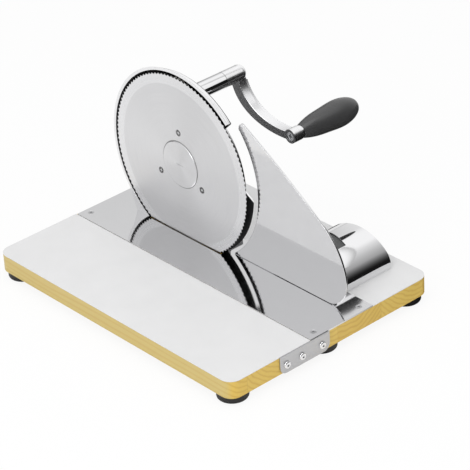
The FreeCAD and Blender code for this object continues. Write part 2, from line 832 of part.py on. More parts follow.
def make_stand():
    # An angle behind the housing, standing on the track.
    y0 = blade_axis_y - stand_half_width
    y1 = blade_axis_y + stand_half_width
    upright_back_x = plate_back_x + stand_thickness
    base_top_z = track_top_z + stand_thickness
    upright = box(plate_back_x, upright_back_x, y0, y1, track_top_z, track_top_z + stand_height)
    base = box(plate_back_x, plate_back_x + stand_depth, y0, y1, track_top_z, base_top_z)
    angle = join([upright, base])
    inner = [e for e in angle.Edges
             if abs(e.BoundBox.XMin - upright_back_x) < 0.01
             and abs(e.BoundBox.ZMax - base_top_z) < 0.01 and e.Length > stand_half_width]
    angle = angle.makeFillet(stand_inner_round, inner)
    tools = [rod_z(track_top_z, base_top_z, stand_screw_x, y, medium_screw[0] + screw_hole_gap)
             for y in stand_screw_ys]
    for y in stand_bolt_ys:
        tools.append(rod_x(plate_back_x, upright_back_x, y, stand_bolt_z,
                           medium_screw[0] + seat_clearance))
    return angle.cut(tools)


def make_stand_screws():
    place_z = track_top_z + stand_thickness
    return [pan_screw(V(stand_screw_x, y, place_z), V(0, 0, -1), wood_screw_length, medium_screw)
            for y in stand_screw_ys]


def make_stand_bolts():
    length = housing_plate_thickness + stand_thickness
    return [pan_screw(V(plate_front_x, y, stand_bolt_z), V(1, 0, 0), length, medium_screw)
            for y in stand_bolt_ys]


def flange_with_tube(y, z, circle, flange_radius, tube_radius, end_x, bore):
    flange = rod_x(plate_back_x, flange_back_x, y, z, flange_radius)
    tube = rod_x(flange_back_x, end_x, y, z, tube_radius)
    tools = [rod_x(plate_back_x, end_x, y, z, bore + seat_clearance)]
    for spot in flange_screw_places(y, z, circle):
        tools.append(rod_x(plate_back_x, flange_back_x, spot.y, spot.z,
                           small_screw[0] + seat_clearance))
    return join([flange, tube]).cut(tools)


def flange_screws(y, z, circle):
    length = housing_plate_thickness + bearing_flange_thickness - thread_end_gap / 2
    return [flush_screw(V(plate_front_x, spot.y, spot.z), V(1, 0, 0), length, small_screw)
            for spot in flange_screw_places(y, z, circle)]


def make_blade_bearing():
    return flange_with_tube(blade_axis_y, blade_axis_z, blade_bearing_screw_circle,
                            bearing_flange_radius, bearing_tube_radius, blade_bush_end_x,
                            blade_bush_radius)


def make_crank_tube():
    return flange_with_tube(crank_axis_y, crank_axis_z, crank_bearing_screw_circle,
                            crank_flange_radius, crank_tube_radius, crank_tube_end_x,
                            crank_bush_radius)


def make_blade_bush():
    return ring_x(gear_back_x + thrust_gap, blade_bush_end_x, blade_axis_y, blade_axis_z,
                  blade_bush_radius, blade_shaft_radius + shaft_clearance)


def make_crank_bushes():
    inner = crank_shaft_radius + shaft_clearance
    starts = (crank_gear_back_x + thrust_gap, crank_tube_end_x - crank_bush_length)
    return [ring_x(x, x + crank_bush_length, crank_axis_y, crank_axis_z, crank_bush_radius, inner)
            for x in starts]


# Crank arm, its shaft and the handle

def make_crank_shaft():
    end_x = hub_front_x + shaft_depth_in_hub
    round_part = rod_x(crank_gear_back_x, end_x, crank_axis_y, crank_axis_z, crank_shaft_radius)
    flat_part = flatted_rod(crank_gear_front_x, crank_gear_back_x, 0)
    shaft = join([round_part, flat_part])
    shaft_low_z = crank_axis_z - crank_shaft_radius
    dimple = rod_z(shaft_low_z, shaft_low_z + grub_seat_depth, grub_x, crank_axis_y,
                   grub_radius + seat_clearance)
    return shaft.cut(dimple)


def arm_side(offsets):
    # One long side of the arm in the plane across X, a smooth curve from the hub to the boss.
    curve = Part.BSplineCurve()
    curve.interpolate([V(0, crank_axis_y + along, crank_axis_z + rise) for along, rise in offsets])
    return curve.toShape()


def make_crank_arm():
    # A hooked bar that joins the hub on the shaft to the boss that carries the handle's pin.
    sides = [arm_side(arm_upper_side), arm_side(arm_lower_side)]
    ends = [line(sides[0].Vertexes[k].Point, sides[1].Vertexes[k].Point) for k in (0, -1)]
    bar = extruded_x(Part.sortEdges(sides + ends)[0], arm_face_x, arm_back_x)
    back_edges = [e for e in bar.Edges
                  if e.Length > arm_boss_reach / 2 and e.BoundBox.XMin > arm_back_x - 0.01]
    bar = bar.makeFillet(arm_edge_round, back_edges)
    near_edges = [e for e in bar.Edges
                  if e.Length > arm_boss_reach / 2 and e.BoundBox.XMax < arm_face_x + 0.01]
    bar = bar.makeFillet(arm_face_round, near_edges)
    hub = rod_x(hub_front_x, arm_back_x, crank_axis_y, crank_axis_z, crank_tube_radius)
    hub_edge = [e for e in hub.Edges if e.BoundBox.XMin > arm_back_x - 0.01]
    hub = hub.makeFillet(hub_end_round, hub_edge)
    boss = rod_x(arm_face_x, arm_back_x, handle_axis_y, handle_axis_z, arm_boss_radius)
    arm = join([hub, bar, boss])
    shaft_bore_end_x = hub_front_x + shaft_depth_in_hub + thread_end_gap / 2
    tools = [rod_x(hub_front_x, shaft_bore_end_x, crank_axis_y, crank_axis_z,
                   crank_shaft_radius + seat_clearance)]
    tools.append(rod_z(crank_axis_z - 2 * crank_tube_radius, crank_axis_z - crank_shaft_radius / 2,
                       grub_x, crank_axis_y, grub_radius + seat_clearance))
    tools.append(rod_x(arm_face_x, arm_back_x, handle_axis_y, handle_axis_z,
                       pin_thread_radius + seat_clearance))
    tools.append(rod_x(arm_face_x, arm_face_x + pin_head_depth, handle_axis_y, handle_axis_z,
                       pin_head_radius + pin_head_gap))
    return arm.cut(tools)


def make_grub_screw():
    top_z = crank_axis_z - crank_shaft_radius + grub_seat_depth - seat_clearance
    low_z = crank_axis_z - crank_tube_radius + grub_sink
    screw = rod_z(low_z, top_z, grub_x, crank_axis_y, grub_radius)
    socket = rod_z(low_z, low_z + grub_socket_depth, grub_x, crank_axis_y, grub_radius / 2)
    return screw.cut(socket)


def make_handle_pin():
    head_front_x = arm_face_x + pin_head_sink
    head_back_x = arm_face_x + pin_head_depth
    points = [(head_front_x, 0), (head_front_x, pin_head_radius), (head_back_x, pin_head_radius),
              (head_back_x, pin_thread_radius), (arm_back_x, pin_thread_radius),
              (arm_back_x, handle_pin_radius), (pin_end_x, handle_pin_radius), (pin_end_x, 0)]
    pin = turned_x(points, handle_axis_y, handle_axis_z)
    head_middle = V(head_front_x, handle_axis_y, handle_axis_z)
    slot = cross_recess(head_middle, V(1, 0, 0), pin_head_radius, pin_slot_depth)
    groove = ring_x(pin_groove_x, pin_groove_x + pin_groove_width, handle_axis_y, handle_axis_z,
                    handle_pin_radius + pin_groove_depth, handle_pin_radius - pin_groove_depth)
    return pin.cut([slot, groove])


def make_handle():
    # A drop-shaped grip: slim at the arm, fullest near its free end.
    grow = handle_largest_radius - handle_neck_radius
    points = []
    for share, missing in handle_swell:
        radius = handle_largest_radius - missing * grow
        points.append(V(handle_start_x + share * handle_length, 0, radius))
    share, swell = handle_end_swell
    points.append(V(handle_start_x + share * handle_length, 0, swell * handle_largest_radius))
    points.append(V(handle_tip_x, 0, 0))
    side = Part.BSplineCurve()
    side.interpolate(points, InitialTangent=V(1, 0, 0.35), FinalTangent=V(0, 0, -1))
    start = V(handle_start_x, 0, 0)
    wire = Part.Wire([line(start, points[0]), side.toShape(), line(points[-1], start)])
    grip = Part.Face(wire).revolve(V(0, 0, 0), V(1, 0, 0), 360)
    grip.translate(V(0, handle_axis_y, handle_axis_z))
    bore = rod_x(handle_start_x, pin_end_x + thread_end_gap, handle_axis_y, handle_axis_z,
                 handle_pin_radius + sleeve_wall + seat_clearance)
    return grip.cut(bore)


def make_handle_sleeve():
    # A plastic bearing sleeve. Its small inner lip snaps into the pin's groove and keeps the handle on.
    y = handle_axis_y
    z = handle_axis_z
    outer = handle_pin_radius + sleeve_wall
    sleeve = ring_x(handle_start_x, pin_end_x, y, z, outer, handle_pin_radius + shaft_clearance)
    lip_inner = handle_pin_radius - pin_groove_depth + thrust_gap
    lip_end_x = pin_groove_x + pin_groove_width - thrust_gap
    lip = ring_x(pin_groove_x + thrust_gap, lip_end_x, y, z, outer, lip_inner)
    return join([sleeve, lip])


def make_ferrule():
    front_x = arm_back_x + crank_hub_gap
    return ring_x(front_x, handle_start_x, handle_axis_y, handle_axis_z,
                  handle_neck_radius - ferrule_step, handle_pin_radius + shaft_clearance)


# Thickness gauge and its slide

def make_gauge_plate():
    # A mirror-bright plate whose rear edge keeps an even gap around the blade.
    low = gauge_bottom_z
    y = blade_axis_y
    z = blade_axis_z
    r = gauge_arc_radius
    arc_low = V(0, y - math.sqrt(r ** 2 - (z - low) ** 2), low)
    arc_high = around(y, z, r, gauge_arc_end_angle)
    arc_mid = around(y, z, r, gauge_arc_middle_angle)
    tip_middle = around(y, z, r + gauge_tip_bulge[0], gauge_tip_bulge[1])
    tip_side = around(y, z, r + gauge_tip_corner[0], gauge_tip_corner[1])
    front_top = V(0, *gauge_front_top)
    front_middle = V(0, *gauge_front_middle)
    bottom_start = V(0, gauge_bottom_start_y, low)
    slope_middle = (tip_side + front_top) / 2 + V(0, 0, gauge_slope_bulge)
    edges = [arc(arc_low, arc_mid, arc_high), arc(arc_high, tip_middle, tip_side)]
    edges.append(arc(tip_side, slope_middle, front_top))
    edges.append(arc(front_top, V(0, *gauge_front_bulge), front_middle))
    edges.append(arc(front_middle, V(0, *gauge_corner_bulge), bottom_start))
    edges.append(line(bottom_start, arc_low))
    plate = extruded_x(edges, gauge_face_x, gauge_back_x)
    stud_end_x = wall_back_x + nut_height + stud_end_length
    studs = [rod_x(gauge_back_x, stud_end_x, sy, sz, stud_radius) for sy, sz in stud_places]
    return join([plate] + studs)


def tunnel_edges(inset, low_z):
    # The cover's section: short upright sides, two side arcs and a flat top arc, all tangent.
    half = cover_half_width - inset
    height = cover_height - inset
    side = cover_side_radius - inset
    straight = cover_side_straight
    across = half - side
    rise = height - straight
    top_radius = (across ** 2 + rise ** 2 - side ** 2) / (2 * (rise - side))
    lean = math.asin(across / (top_radius - side))
    y = cover_centre_y
    foot_left = V(0, y - half, low_z)
    foot_right = V(0, y + half, low_z)
    edges = [line(foot_left, foot_right)]
    for sign in (1, -1):
        centre = V(0, y + sign * across, straight)
        knee = centre + V(0, sign * side * math.sin(lean), side * math.cos(lean))
        bend = math.radians(90) - (math.radians(90) - lean) / 2
        middle = centre + V(0, sign * side * math.sin(bend), side * math.cos(bend))
        start = V(0, y + sign * half, straight)
        foot = V(0, y + sign * half, low_z)
        edges.append(line(foot, start))
        edges.append(arc(start, middle, knee))
    left_knee = V(0, y - across - side * math.sin(lean), straight + side * math.cos(lean))
    right_knee = V(0, y + across + side * math.sin(lean), straight + side * math.cos(lean))
    edges.append(arc(left_knee, V(0, y, height), right_knee))
    return Part.sortEdges(edges)[0]


def make_cover():
    # A bright sheet tunnel with two inward flanges. Its left end is open and laps over the track.
    outer = extruded_x(tunnel_edges(0, 0), cover_left_x, cover_right_x)
    inner = extruded_x(tunnel_edges(cover_sheet, cover_sheet), cover_left_x, cover_right_x)
    open_half = cover_half_width - cover_sheet - cover_flange_width
    open_floor = box(cover_left_x, cover_right_x, cover_centre_y - open_half,
                     cover_centre_y + open_half, 0, cover_sheet)
    middle_z = cover_height / 2
    window_line = [V(cover_left_x, cover_window_front_y, middle_z),
                   V(cover_window_front_x, cover_window_front_y, middle_z),
                   V(cover_window_rear_x, cover_window_rear_y, middle_z),
                   V(cover_left_x, cover_window_rear_y, middle_z)]
    window_line.append(window_line[0])
    window = Part.Face(Part.makePolygon(window_line)).extrude(V(0, 0, middle_z))
    over_track = box(cover_left_x, track_right + laminate_gap, cover_centre_y - cover_half_width,
                     cover_centre_y + cover_half_width, 0, track_top_z)
    inner_half = cover_half_width - cover_sheet
    track_flange = box(cover_left_x, track_right + laminate_gap, cover_centre_y - inner_half,
                       cover_centre_y + inner_half, 0, cover_sheet)
    tools = [inner, open_floor, window, over_track, track_flange]
    for x, y in under_screw_places()[0]:
        tools.append(rod_z(0, cover_sheet, x, y, medium_screw[0] + screw_hole_gap))
    return outer.cut(tools)


def make_cover_cap():
    # A plastic plug that closes the tunnel's crank-side end.
    inset = cover_sheet + seat_clearance
    return extruded_x(tunnel_edges(inset, inset), cover_right_x - cover_cap_thickness, cover_right_x)


def make_cover_nuts():
    nuts = []
    for x, y in under_screw_places()[0]:
        half = cover_nut_half_width
        nut = box(x - half, x + half, y - half, y + half, cover_sheet, cover_sheet + cover_nut_height)
        nuts.append(nut.cut(rod_z(cover_sheet, cover_sheet + cover_nut_height, x, y,
                                  medium_screw[0] + seat_clearance)))
    return nuts


def under_screws(places, top):
    head_z = board_bottom_z + under_head_depth
    return [pan_screw(V(x, y, head_z), V(0, 0, 1), top - head_z, medium_screw) for x, y in places]


def make_cover_screws():
    return under_screws(under_screw_places()[0], cover_sheet + cover_nut_height)


def make_bed_screws():
    return under_screws(under_screw_places()[1], bed_thread_depth - thread_end_gap)


def make_guide_bed():
    # One moulding: two blocks that carry the rods, joined by a base with a toothed bar for the detent.
    half = rod_spacing / 2 + rod_radius + block_margin
    y0 = cover_centre_y - half
    y1 = cover_centre_y + half
    end_x = rear_block_x + block_length
    blocks = []
    for x0 in (front_block_x, rear_block_x):
        block = box(x0, x0 + block_length, y0, y1, 0, block_height)
        corners = [e for e in block.Edges if e.BoundBox.ZMin > block_height - 0.01
                   and e.BoundBox.XLength > block_length / 2 and e.BoundBox.YLength < 0.01]
        blocks.append(block.makeFillet(block_round, corners))
    half_base = rod_spacing / 2
    base = box(front_block_x, end_x, cover_centre_y - half_base, cover_centre_y + half_base,
               0, bed_thickness)
    rack_y0 = cover_centre_y - rack_width / 2
    rack_x0 = front_block_x + block_length
    bar = box(rack_x0, rear_block_x, rack_y0, rack_y0 + rack_width, 0, rack_height)
    bed = join(blocks + [base, bar])
    tools = [box(front_block_x, track_right + laminate_gap, y0, y1, 0, track_top_z)]
    tools += [rod_x(front_block_x, end_x, y, rod_height, rod_radius + shaft_clearance)
              for y in rod_places()]
    for x, y in under_screw_places()[1]:
        tools.append(rod_z(0, bed_thread_depth, x, y, medium_screw[0] + seat_clearance))
    for y in cover_screw_ys:
        for x in cover_screw_xs:
            reach = cover_nut_half_width + flange_relief
            tools.append(box(x - reach, x + reach, y - reach, y + reach, 0, 2 * cover_nut_height))
    free_half = cover_half_width - cover_sheet - cover_flange_width - flange_relief
    for side_y0, side_y1 in ((y0, cover_centre_y - free_half), (cover_centre_y + free_half, y1)):
        tools.append(box(front_block_x, end_x, side_y0, side_y1, 0, cover_sheet + flange_top_gap))
    count = int((rear_block_x - rack_x0) / rack_pitch)
    half_pitch = rack_pitch / 2
    for number in range(count):
        x = rack_x0 + (number + 0.5) * rack_pitch
        low = V(x, rack_y0, rack_height - rack_tooth_height)
        left = V(x - half_pitch, rack_y0, rack_height)
        right = V(x + half_pitch, rack_y0, rack_height)
        tools.append(Part.Face(Part.makePolygon([low, left, right, low])).extrude(V(0, rack_width, 0)))
    return bed.cut(tools)


def rod_places():
    return (cover_centre_y - rod_spacing / 2, cover_centre_y + rod_spacing / 2)


def make_rods():
    start_x = gauge_back_x + rod_end_gap
    end_x = cover_right_x - cover_cap_thickness - gauge_travel_out - cap_space
    return [rod_x(start_x, end_x, y, rod_height, rod_radius) for y in rod_places()]


def make_gauge_bracket():
    half = rod_spacing / 2 + rod_radius + bracket_margin
    plate = box(gauge_back_x, bracket_back_x, cover_centre_y - half, cover_centre_y + half,
                gauge_bottom_z, bracket_top_z)
    corners = [e for e in plate.Edges
               if e.BoundBox.XLength > bracket_thickness / 2 and e.BoundBox.ZMin > bracket_top_z - 0.01]
    plate = plate.makeFillet(bracket_round, corners)
    tools = [rod_x(gauge_back_x, bracket_back_x, y, rod_height, rod_radius + seat_clearance)
             for y in rod_places()]
    tools += [rod_x(gauge_back_x, bracket_back_x, sy, sz, stud_radius + screw_hole_gap)
              for sy, sz in stud_places]
    return plate.cut(tools)


def make_gauge_nuts():
    nuts = []
    for sy, sz in stud_places:
        corners = [around(sy, sz, nut_half_width, 60 * number) + V(wall_back_x, 0, 0)
                   for number in range(7)]
        nut = Part.Face(Part.makePolygon(corners)).extrude(V(nut_height, 0, 0))
        nuts.append(nut.cut(rod_x(wall_back_x, wall_back_x + nut_height, sy, sz,
                                  stud_radius + seat_clearance)))
    return nuts


def make_saddle():
    # A moulded tunnel just inside the cover, pushed with the thumb through the window to set the gauge.
    outer_inset = cover_sheet + saddle_gap
    outer = extruded_x(tunnel_edges(outer_inset, 0), bracket_back_x, saddle_right_x)
    inner = extruded_x(tunnel_edges(outer_inset + saddle_wall, 0), wall_back_x, saddle_right_x)
    below = box(bracket_back_x, saddle_right_x, cover_centre_y - cover_half_width,
                cover_centre_y + cover_half_width, 0, saddle_low_z)
    shell = outer.cut([inner, below])
    lifted = extruded_x(tunnel_edges(outer_inset - saddle_rib_height, 0), bracket_back_x,
                        saddle_right_x)
    ribs = []
    for number in range(saddle_rib_count):
        x = saddle_first_rib_x + number * saddle_rib_pitch
        rib = box(x, x + saddle_rib_width, cover_window_front_y + saddle_rib_side_gap,
                  cover_window_rear_y - saddle_rib_side_gap, cover_height / 2, cover_height)
        ribs.append(rib.common(lifted).cut(inner))
    finger_low_z = rack_height + finger_gap
    y0 = cover_centre_y - finger_width / 2
    finger = box(finger_x, finger_x + finger_thickness, y0, y0 + finger_width, finger_low_z,
                 cover_height)
    low_edges = [e for e in finger.Edges
                 if e.BoundBox.ZMax < finger_low_z + 0.01 and e.BoundBox.YLength > finger_width / 2]
    finger = finger.makeFillet(finger_end_round, low_edges).common(lifted)
    body = join([shell] + ribs + [finger])
    tools = [rod_x(bracket_back_x, wall_back_x, y, rod_height, rod_radius + screw_hole_gap)
             for y in rod_places()]
    tools += [rod_x(bracket_back_x, wall_back_x, sy, sz, stud_radius + screw_hole_gap)
              for sy, sz in stud_places]
    return body.cut(tools)


def pieces():
    laminate_left, laminate_right = make_laminates()
    return {
        "board": make_board(),
        "laminate_left": laminate_left,
        "laminate_right": laminate_right,
        "track_plate": make_track(),
        "track_screws": make_track_screws(),
        "edge_plate": make_edge_plate(),
        "edge_plate_screws": make_edge_screws(),
        "rubber_feet": make_feet(),
        "foot_screws": make_foot_screws(),
        "blade_housing": make_housing(),
        "housing_stand": make_stand(),
        "stand_screws": make_stand_screws(),
        "stand_bolts": make_stand_bolts(),
        "blade_bearing": make_blade_bearing(),
        "blade_bearing_screws": flange_screws(blade_axis_y, blade_axis_z, blade_bearing_screw_circle),
        "blade_bush": make_blade_bush(),
        "crank_tube": make_crank_tube(),
        "crank_tube_screws": flange_screws(crank_axis_y, crank_axis_z, crank_bearing_screw_circle),
        "crank_bushes": make_crank_bushes(),
        "blade": make_blade(),
        "blade_screws": make_blade_screws(),
        "blade_cap": make_blade_cap(),
        "blade_gear": make_blade_gear(),
        "blade_shaft": make_blade_shaft(),
        "blade_shaft_ring": make_blade_shaft_ring(),
        "crank_gear": make_crank_gear(),
        "crank_shaft": make_crank_shaft(),
        "crank_arm": make_crank_arm(),
        "crank_grub_screw": make_grub_screw(),
        "handle_pin": make_handle_pin(),
        "handle_grip": make_handle(),
        "handle_sleeve": make_handle_sleeve(),
        "handle_ferrule": make_ferrule(),
        "slide_cover": make_cover(),
        "cover_end_cap": make_cover_cap(),
        "cover_nuts": make_cover_nuts(),
        "cover_screws": make_cover_screws(),
        "guide_bed": make_guide_bed(),
        "guide_bed_screws": make_bed_screws(),
        "gauge_plate": make_gauge_plate(),
        "gauge_bracket": make_gauge_bracket(),
        "gauge_nuts": make_gauge_nuts(),
        "guide_rods": make_rods(),
        "gauge_saddle": make_saddle(),
    }


def save(name, shape):
    solids = shape if isinstance(shape, list) else [shape]
    group = Part.makeCompound(solids) if len(solids) > 1 else solids[0]
    group.translate(V(part_origin).multiply(-1))
    group.exportStep(os.path.join("parts", name + ".step"))
    state = "valid" if group.isValid() else "NOT VALID"
    print(name, len(group.Solids), "solids", round(group.Volume, 1), "mm3", state)


os.makedirs("parts", exist_ok=True)
for piece_name, piece_shape in pieces().items():
    save(piece_name, piece_shape)
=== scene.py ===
# %% [markdown]
# # A hand-cranked bread slicer
# The imported CAD model comes in first and stays where it is. Every new piece is modelled around it in
# metres, so a point of the slicer means the same place in both.

# %% Load the frame
import json
import math
import bpy
from mathutils import Matrix, Vector


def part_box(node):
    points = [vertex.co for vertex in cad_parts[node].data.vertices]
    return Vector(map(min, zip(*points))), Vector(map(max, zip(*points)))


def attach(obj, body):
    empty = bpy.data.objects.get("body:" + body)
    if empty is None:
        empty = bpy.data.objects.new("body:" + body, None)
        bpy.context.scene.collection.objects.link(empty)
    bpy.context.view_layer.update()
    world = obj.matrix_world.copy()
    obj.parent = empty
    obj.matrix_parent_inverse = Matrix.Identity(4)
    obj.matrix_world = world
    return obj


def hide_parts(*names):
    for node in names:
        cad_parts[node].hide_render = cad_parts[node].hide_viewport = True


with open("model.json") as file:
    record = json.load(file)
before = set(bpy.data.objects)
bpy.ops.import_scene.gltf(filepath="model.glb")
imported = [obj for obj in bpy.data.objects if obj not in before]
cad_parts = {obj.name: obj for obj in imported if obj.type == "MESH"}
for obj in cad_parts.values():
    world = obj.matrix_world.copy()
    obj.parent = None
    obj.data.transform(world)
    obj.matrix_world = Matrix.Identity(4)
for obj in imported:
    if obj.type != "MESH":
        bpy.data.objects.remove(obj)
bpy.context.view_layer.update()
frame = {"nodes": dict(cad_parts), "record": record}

nodes = frame["nodes"]

# %% [markdown]
# The slicer was drawn in millimetres from the front left corner of its board. It is easier to keep
# thinking in those numbers, so one small function turns them into the frame's metres. Lengths that
# have no place of their own, such as a radius, are written in metres at once.

# %% Places in the slicer's own millimetres
MM = 0.001
FOOTPRINT_MIDDLE = Vector((158.25, 171.35, -28.0))
BOARD_UNDERSIDE = -20.0


def at(x, y, z):
    return (Vector((x, y, z)) - FOOTPRINT_MIDDLE) * MM


board_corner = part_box("board")[0]
print("board's front left corner is off by", (board_corner - at(0, 0, BOARD_UNDERSIDE)).length)

# %% [markdown]
# ## Shader maths
# A material varies over a surface by sums and products of textures. Wrapping a node's output in a
# small class lets those sums be written as ordinary Python expressions: each one adds its Math node.

# %% A value in a node tree
class Value:
    """An output socket that can stand in sums, products and quotients."""

    def __init__(self, tree, socket):
        self.tree = tree
        self.socket = socket

    def maths(self, operation, *others):
        node = self.tree.nodes.new("ShaderNodeMath")
        node.operation = operation
        for place, item in enumerate((self,) + others):
            if isinstance(item, Value):
                self.tree.links.new(item.socket, node.inputs[place])
            else:
                node.inputs[place].default_value = item
        return Value(self.tree, node.outputs[0])

    def __add__(self, other):
        return self.maths("ADD", other)

    __radd__ = __add__

    def __mul__(self, other):
        return self.maths("MULTIPLY", other)

    __rmul__ = __mul__

    def __sub__(self, other):
        return self.maths("SUBTRACT", other)

    def __rsub__(self, other):
        return (self * -1) + other

    def __truediv__(self, other):
        return self.maths("DIVIDE", other)

    def clamp(self):
        return self.maths("MINIMUM", 1.0).maths("MAXIMUM", 0.0)


# %% [markdown]
# A finish is one material. Its shader is the Principled shader, whose plain numbers are set directly.
# Any other node comes from one method, which takes the node's type, its settings and its inputs. Some
# nodes have several outputs, which are told apart by their number, so those numbers get names.

# %% A finish
OBJECT_PLACE = 3
CAMERA_RAY, GLOSSY_RAY = 0, 3


class Finish:
    """One node-based material."""

    def __init__(self, name, **numbers):
        self.material = bpy.data.materials.new(name)
        self.material.use_nodes = True
        self.tree = self.material.node_tree
        self.shader = self.tree.nodes["Principled BSDF"]
        for socket, number in numbers.items():
            self.shader.inputs[self.label(socket)].default_value = number

    @staticmethod
    def label(word):
        # base_color -> "Base Color"; the abbreviation IOR keeps its capitals.
        return word.replace("_", " ").title().replace("Ior", "IOR")

    def node(self, kind, settings=None, out=0, **inputs):
        # An input is named by its label, or by i and its number.
        node = self.tree.nodes.new("ShaderNode" + kind)
        for key, setting in (settings or {}).items():
            setattr(node, key, setting)
        for key, item in inputs.items():
            socket = node.inputs[int(key[1:]) if key[0] == "i" and key[1:].isdigit() else key]
            self.feed(socket, item)
        return Value(self.tree, node.outputs[out])

    def feed(self, socket, item):
        if isinstance(item, Value):
            self.tree.links.new(item.socket, socket)
        else:
            socket.default_value = item

    def raw_place(self):
        # The piece's own coordinates in metres.
        return self.node("TexCoord", out=OBJECT_PLACE)

    def place(self, scale=(1, 1, 1)):
        # The same coordinates, stretched by a Mapping node.
        return self.node("Mapping", Vector=self.raw_place(), Scale=scale)

    def split(self, vector):
        # The x, y and z of a vector.
        first = self.node("SeparateXYZ", i0=vector)
        return [Value(self.tree, output) for output in first.socket.node.outputs]

    def noise(self, where, scale, detail=4.0, roughness=0.5):
        return self.node("TexNoise", Vector=where, Scale=scale, Detail=detail, Roughness=roughness)

    def blend(self, share, low, high):
        # Mixes two colours, each a link or an (r, g, b) triple.
        colours = [item if isinstance(item, Value) else (*item, 1.0) for item in (low, high)]
        return self.node("Mix", {"data_type": "RGBA"}, out=2, i0=share, i6=colours[0], i7=colours[1])

    def ramp(self, share, low, high):
        # 0 below low and 1 above high, with a smooth rise between.
        return self.node("MapRange", {"interpolation_type": "SMOOTHSTEP"}, i0=share, i1=low, i2=high)

    def bump(self, height, strength, distance):
        return self.node("Bump", Height=height, Strength=strength, Distance=distance)

    def sink(self, **links):
        for key, item in links.items():
            self.feed(self.shader.inputs[self.label(key)], item)
        return self


def shaded(colour, share):
    return tuple(share * part for part in colour)


# %% [markdown]
# ## Metals
# The slicer's look is mostly metal. Polished chrome is almost a mirror, with a faint unevenness from
# the polishing. A perfectly even mirror would look computed, so a slow noise bends it a little, and
# small patches are a little duller. Both vary the surface and hardly vary the colour.

# %% Chrome and mirror steel
POLISH_PATCHES, POLISH_WAVES, POLISH_DEPTH = 60.0, 14.0, 0.0004
PATCH_TINT, PATCH_DULLNESS = 0.97, 0.03


def bright_metal(name, colour, roughness, waviness):
    finish = Finish(name, metallic=1.0)
    where = finish.place()
    patches = finish.noise(where, POLISH_PATCHES)
    waves = finish.noise(where, POLISH_WAVES, detail=2.0)
    tint = finish.blend(patches, shaded(colour, PATCH_TINT), colour)
    rough = patches * PATCH_DULLNESS + roughness
    surface = finish.bump(waves, waviness, POLISH_DEPTH)
    return finish.sink(base_color=tint, roughness=rough, normal=surface).material


chrome = bright_metal("chrome", (0.90, 0.90, 0.91), roughness=0.03, waviness=0.03)
satin_chrome = bright_metal("satin_chrome", (0.92, 0.92, 0.93), roughness=0.22, waviness=0.03)
mirror_steel = bright_metal("mirror_steel", (0.80, 0.80, 0.81), roughness=0.05, waviness=0.02)
# Painted dark reflection: a dark metal for the arm's inner face.
arm_face_painted_dark = bright_metal("arm_face_painted_dark_reflection", (0.13, 0.13, 0.132), roughness=0.30, waviness=0.02)
print("bright metals:", [metal.name for metal in (chrome, satin_chrome, mirror_steel, arm_face_painted_dark)])

# %% [markdown]
# Sheet steel is brushed on a belt, which leaves straight scratches, and a shaft is turned, which
# leaves them round it. One fine noise gives both: it is stretched along the scratches, so each metal
# only names the direction in which its pattern is drawn out. Screws are small, and keep an even grain.

# %% Brushed and turned steel
SCRATCHES_PER_METRE, SMUDGES_PER_METRE, SCRATCH_DEPTH = 900.0, 40.0, 0.00005
SCRATCH_TINT, SCRATCH_DULLNESS, SMUDGE_DULLNESS = 0.86, 0.16, 0.05


def brushed_metal(name, colour, roughness, stretch, strength=0.08):
    finish = Finish(name, metallic=1.0)
    scratches = finish.noise(finish.place(stretch), SCRATCHES_PER_METRE, detail=3.0, roughness=0.7)
    smudges = finish.noise(finish.place(), SMUDGES_PER_METRE)
    tint = finish.blend(scratches, shaded(colour, SCRATCH_TINT), colour)
    rough = scratches * SCRATCH_DULLNESS + smudges * SMUDGE_DULLNESS + roughness
    surface = finish.bump(scratches, strength, SCRATCH_DEPTH)
    return finish.sink(base_color=tint, roughness=rough, normal=surface).material


brushed_steel = brushed_metal("brushed_steel", (0.61, 0.61, 0.62), 0.26, (0.04, 1.0, 1.0))
screw_steel = brushed_metal("screw_steel", (0.62, 0.62, 0.63), 0.16, (1.0, 1.0, 1.0), strength=0.03)
shaft_steel = brushed_metal("shaft_steel", (0.55, 0.56, 0.57), 0.24, (1.0, 0.05, 0.05))
bronze = brushed_metal("bearing_bronze", (0.60, 0.42, 0.22), 0.30, (1.0, 0.1, 0.1))
print("brushed metals:", [metal.name for metal in (brushed_steel, screw_steel, shaft_steel, bronze)])

# %% [markdown]
# The blade is ground on a turntable, so its scratches are circles. The distance from the blade's axis
# is worked out in the shader, and a fine noise on that distance alone gives rings. Broad, very faint
# fans are painted highlights for the streaked reflections of the grinding, the bevel near the teeth
# gets a painted highlight, and a thin painted shadow lies round the cap and the three screws.

# %% Circularly ground steel
BLADE_AXIS_Y, BLADE_AXIS_Z = 230.0, 82.0
BLADE_CENTRE = at(148.5, BLADE_AXIS_Y, BLADE_AXIS_Z)
BLADE_CAP_RADIUS, BLADE_SCREW_CIRCLE, SCREW_HEAD_RADIUS = 0.0250, 0.03525, 0.0031
SCREW_LEANS = [math.radians(lean) for lean in (90, 210, 330)]
BLADE_BEVEL_RADIUS, BEVEL_BLUR = 0.0855, 0.0006
GRINDINGS_PER_METRE, GRINDING_DRIFT, GRINDING_LAYERS = 2600.0, 3.0, 50.0
GRINDING_STRENGTH, GRINDING_DEPTH = 0.12, 0.00005
BANDS_PER_METRE, BAND_DRIFT = 240.0, 1.5
# Painted highlight fans in the colour, standing in for the streaked reflections of the grinding.
TWO_HIGHLIGHT_FANS, FIVE_HIGHLIGHT_FANS, HIGHLIGHT_FAN_START, HIGHLIGHT_FAN_BEND = 0.5, 0.2, 0.9, 2.0
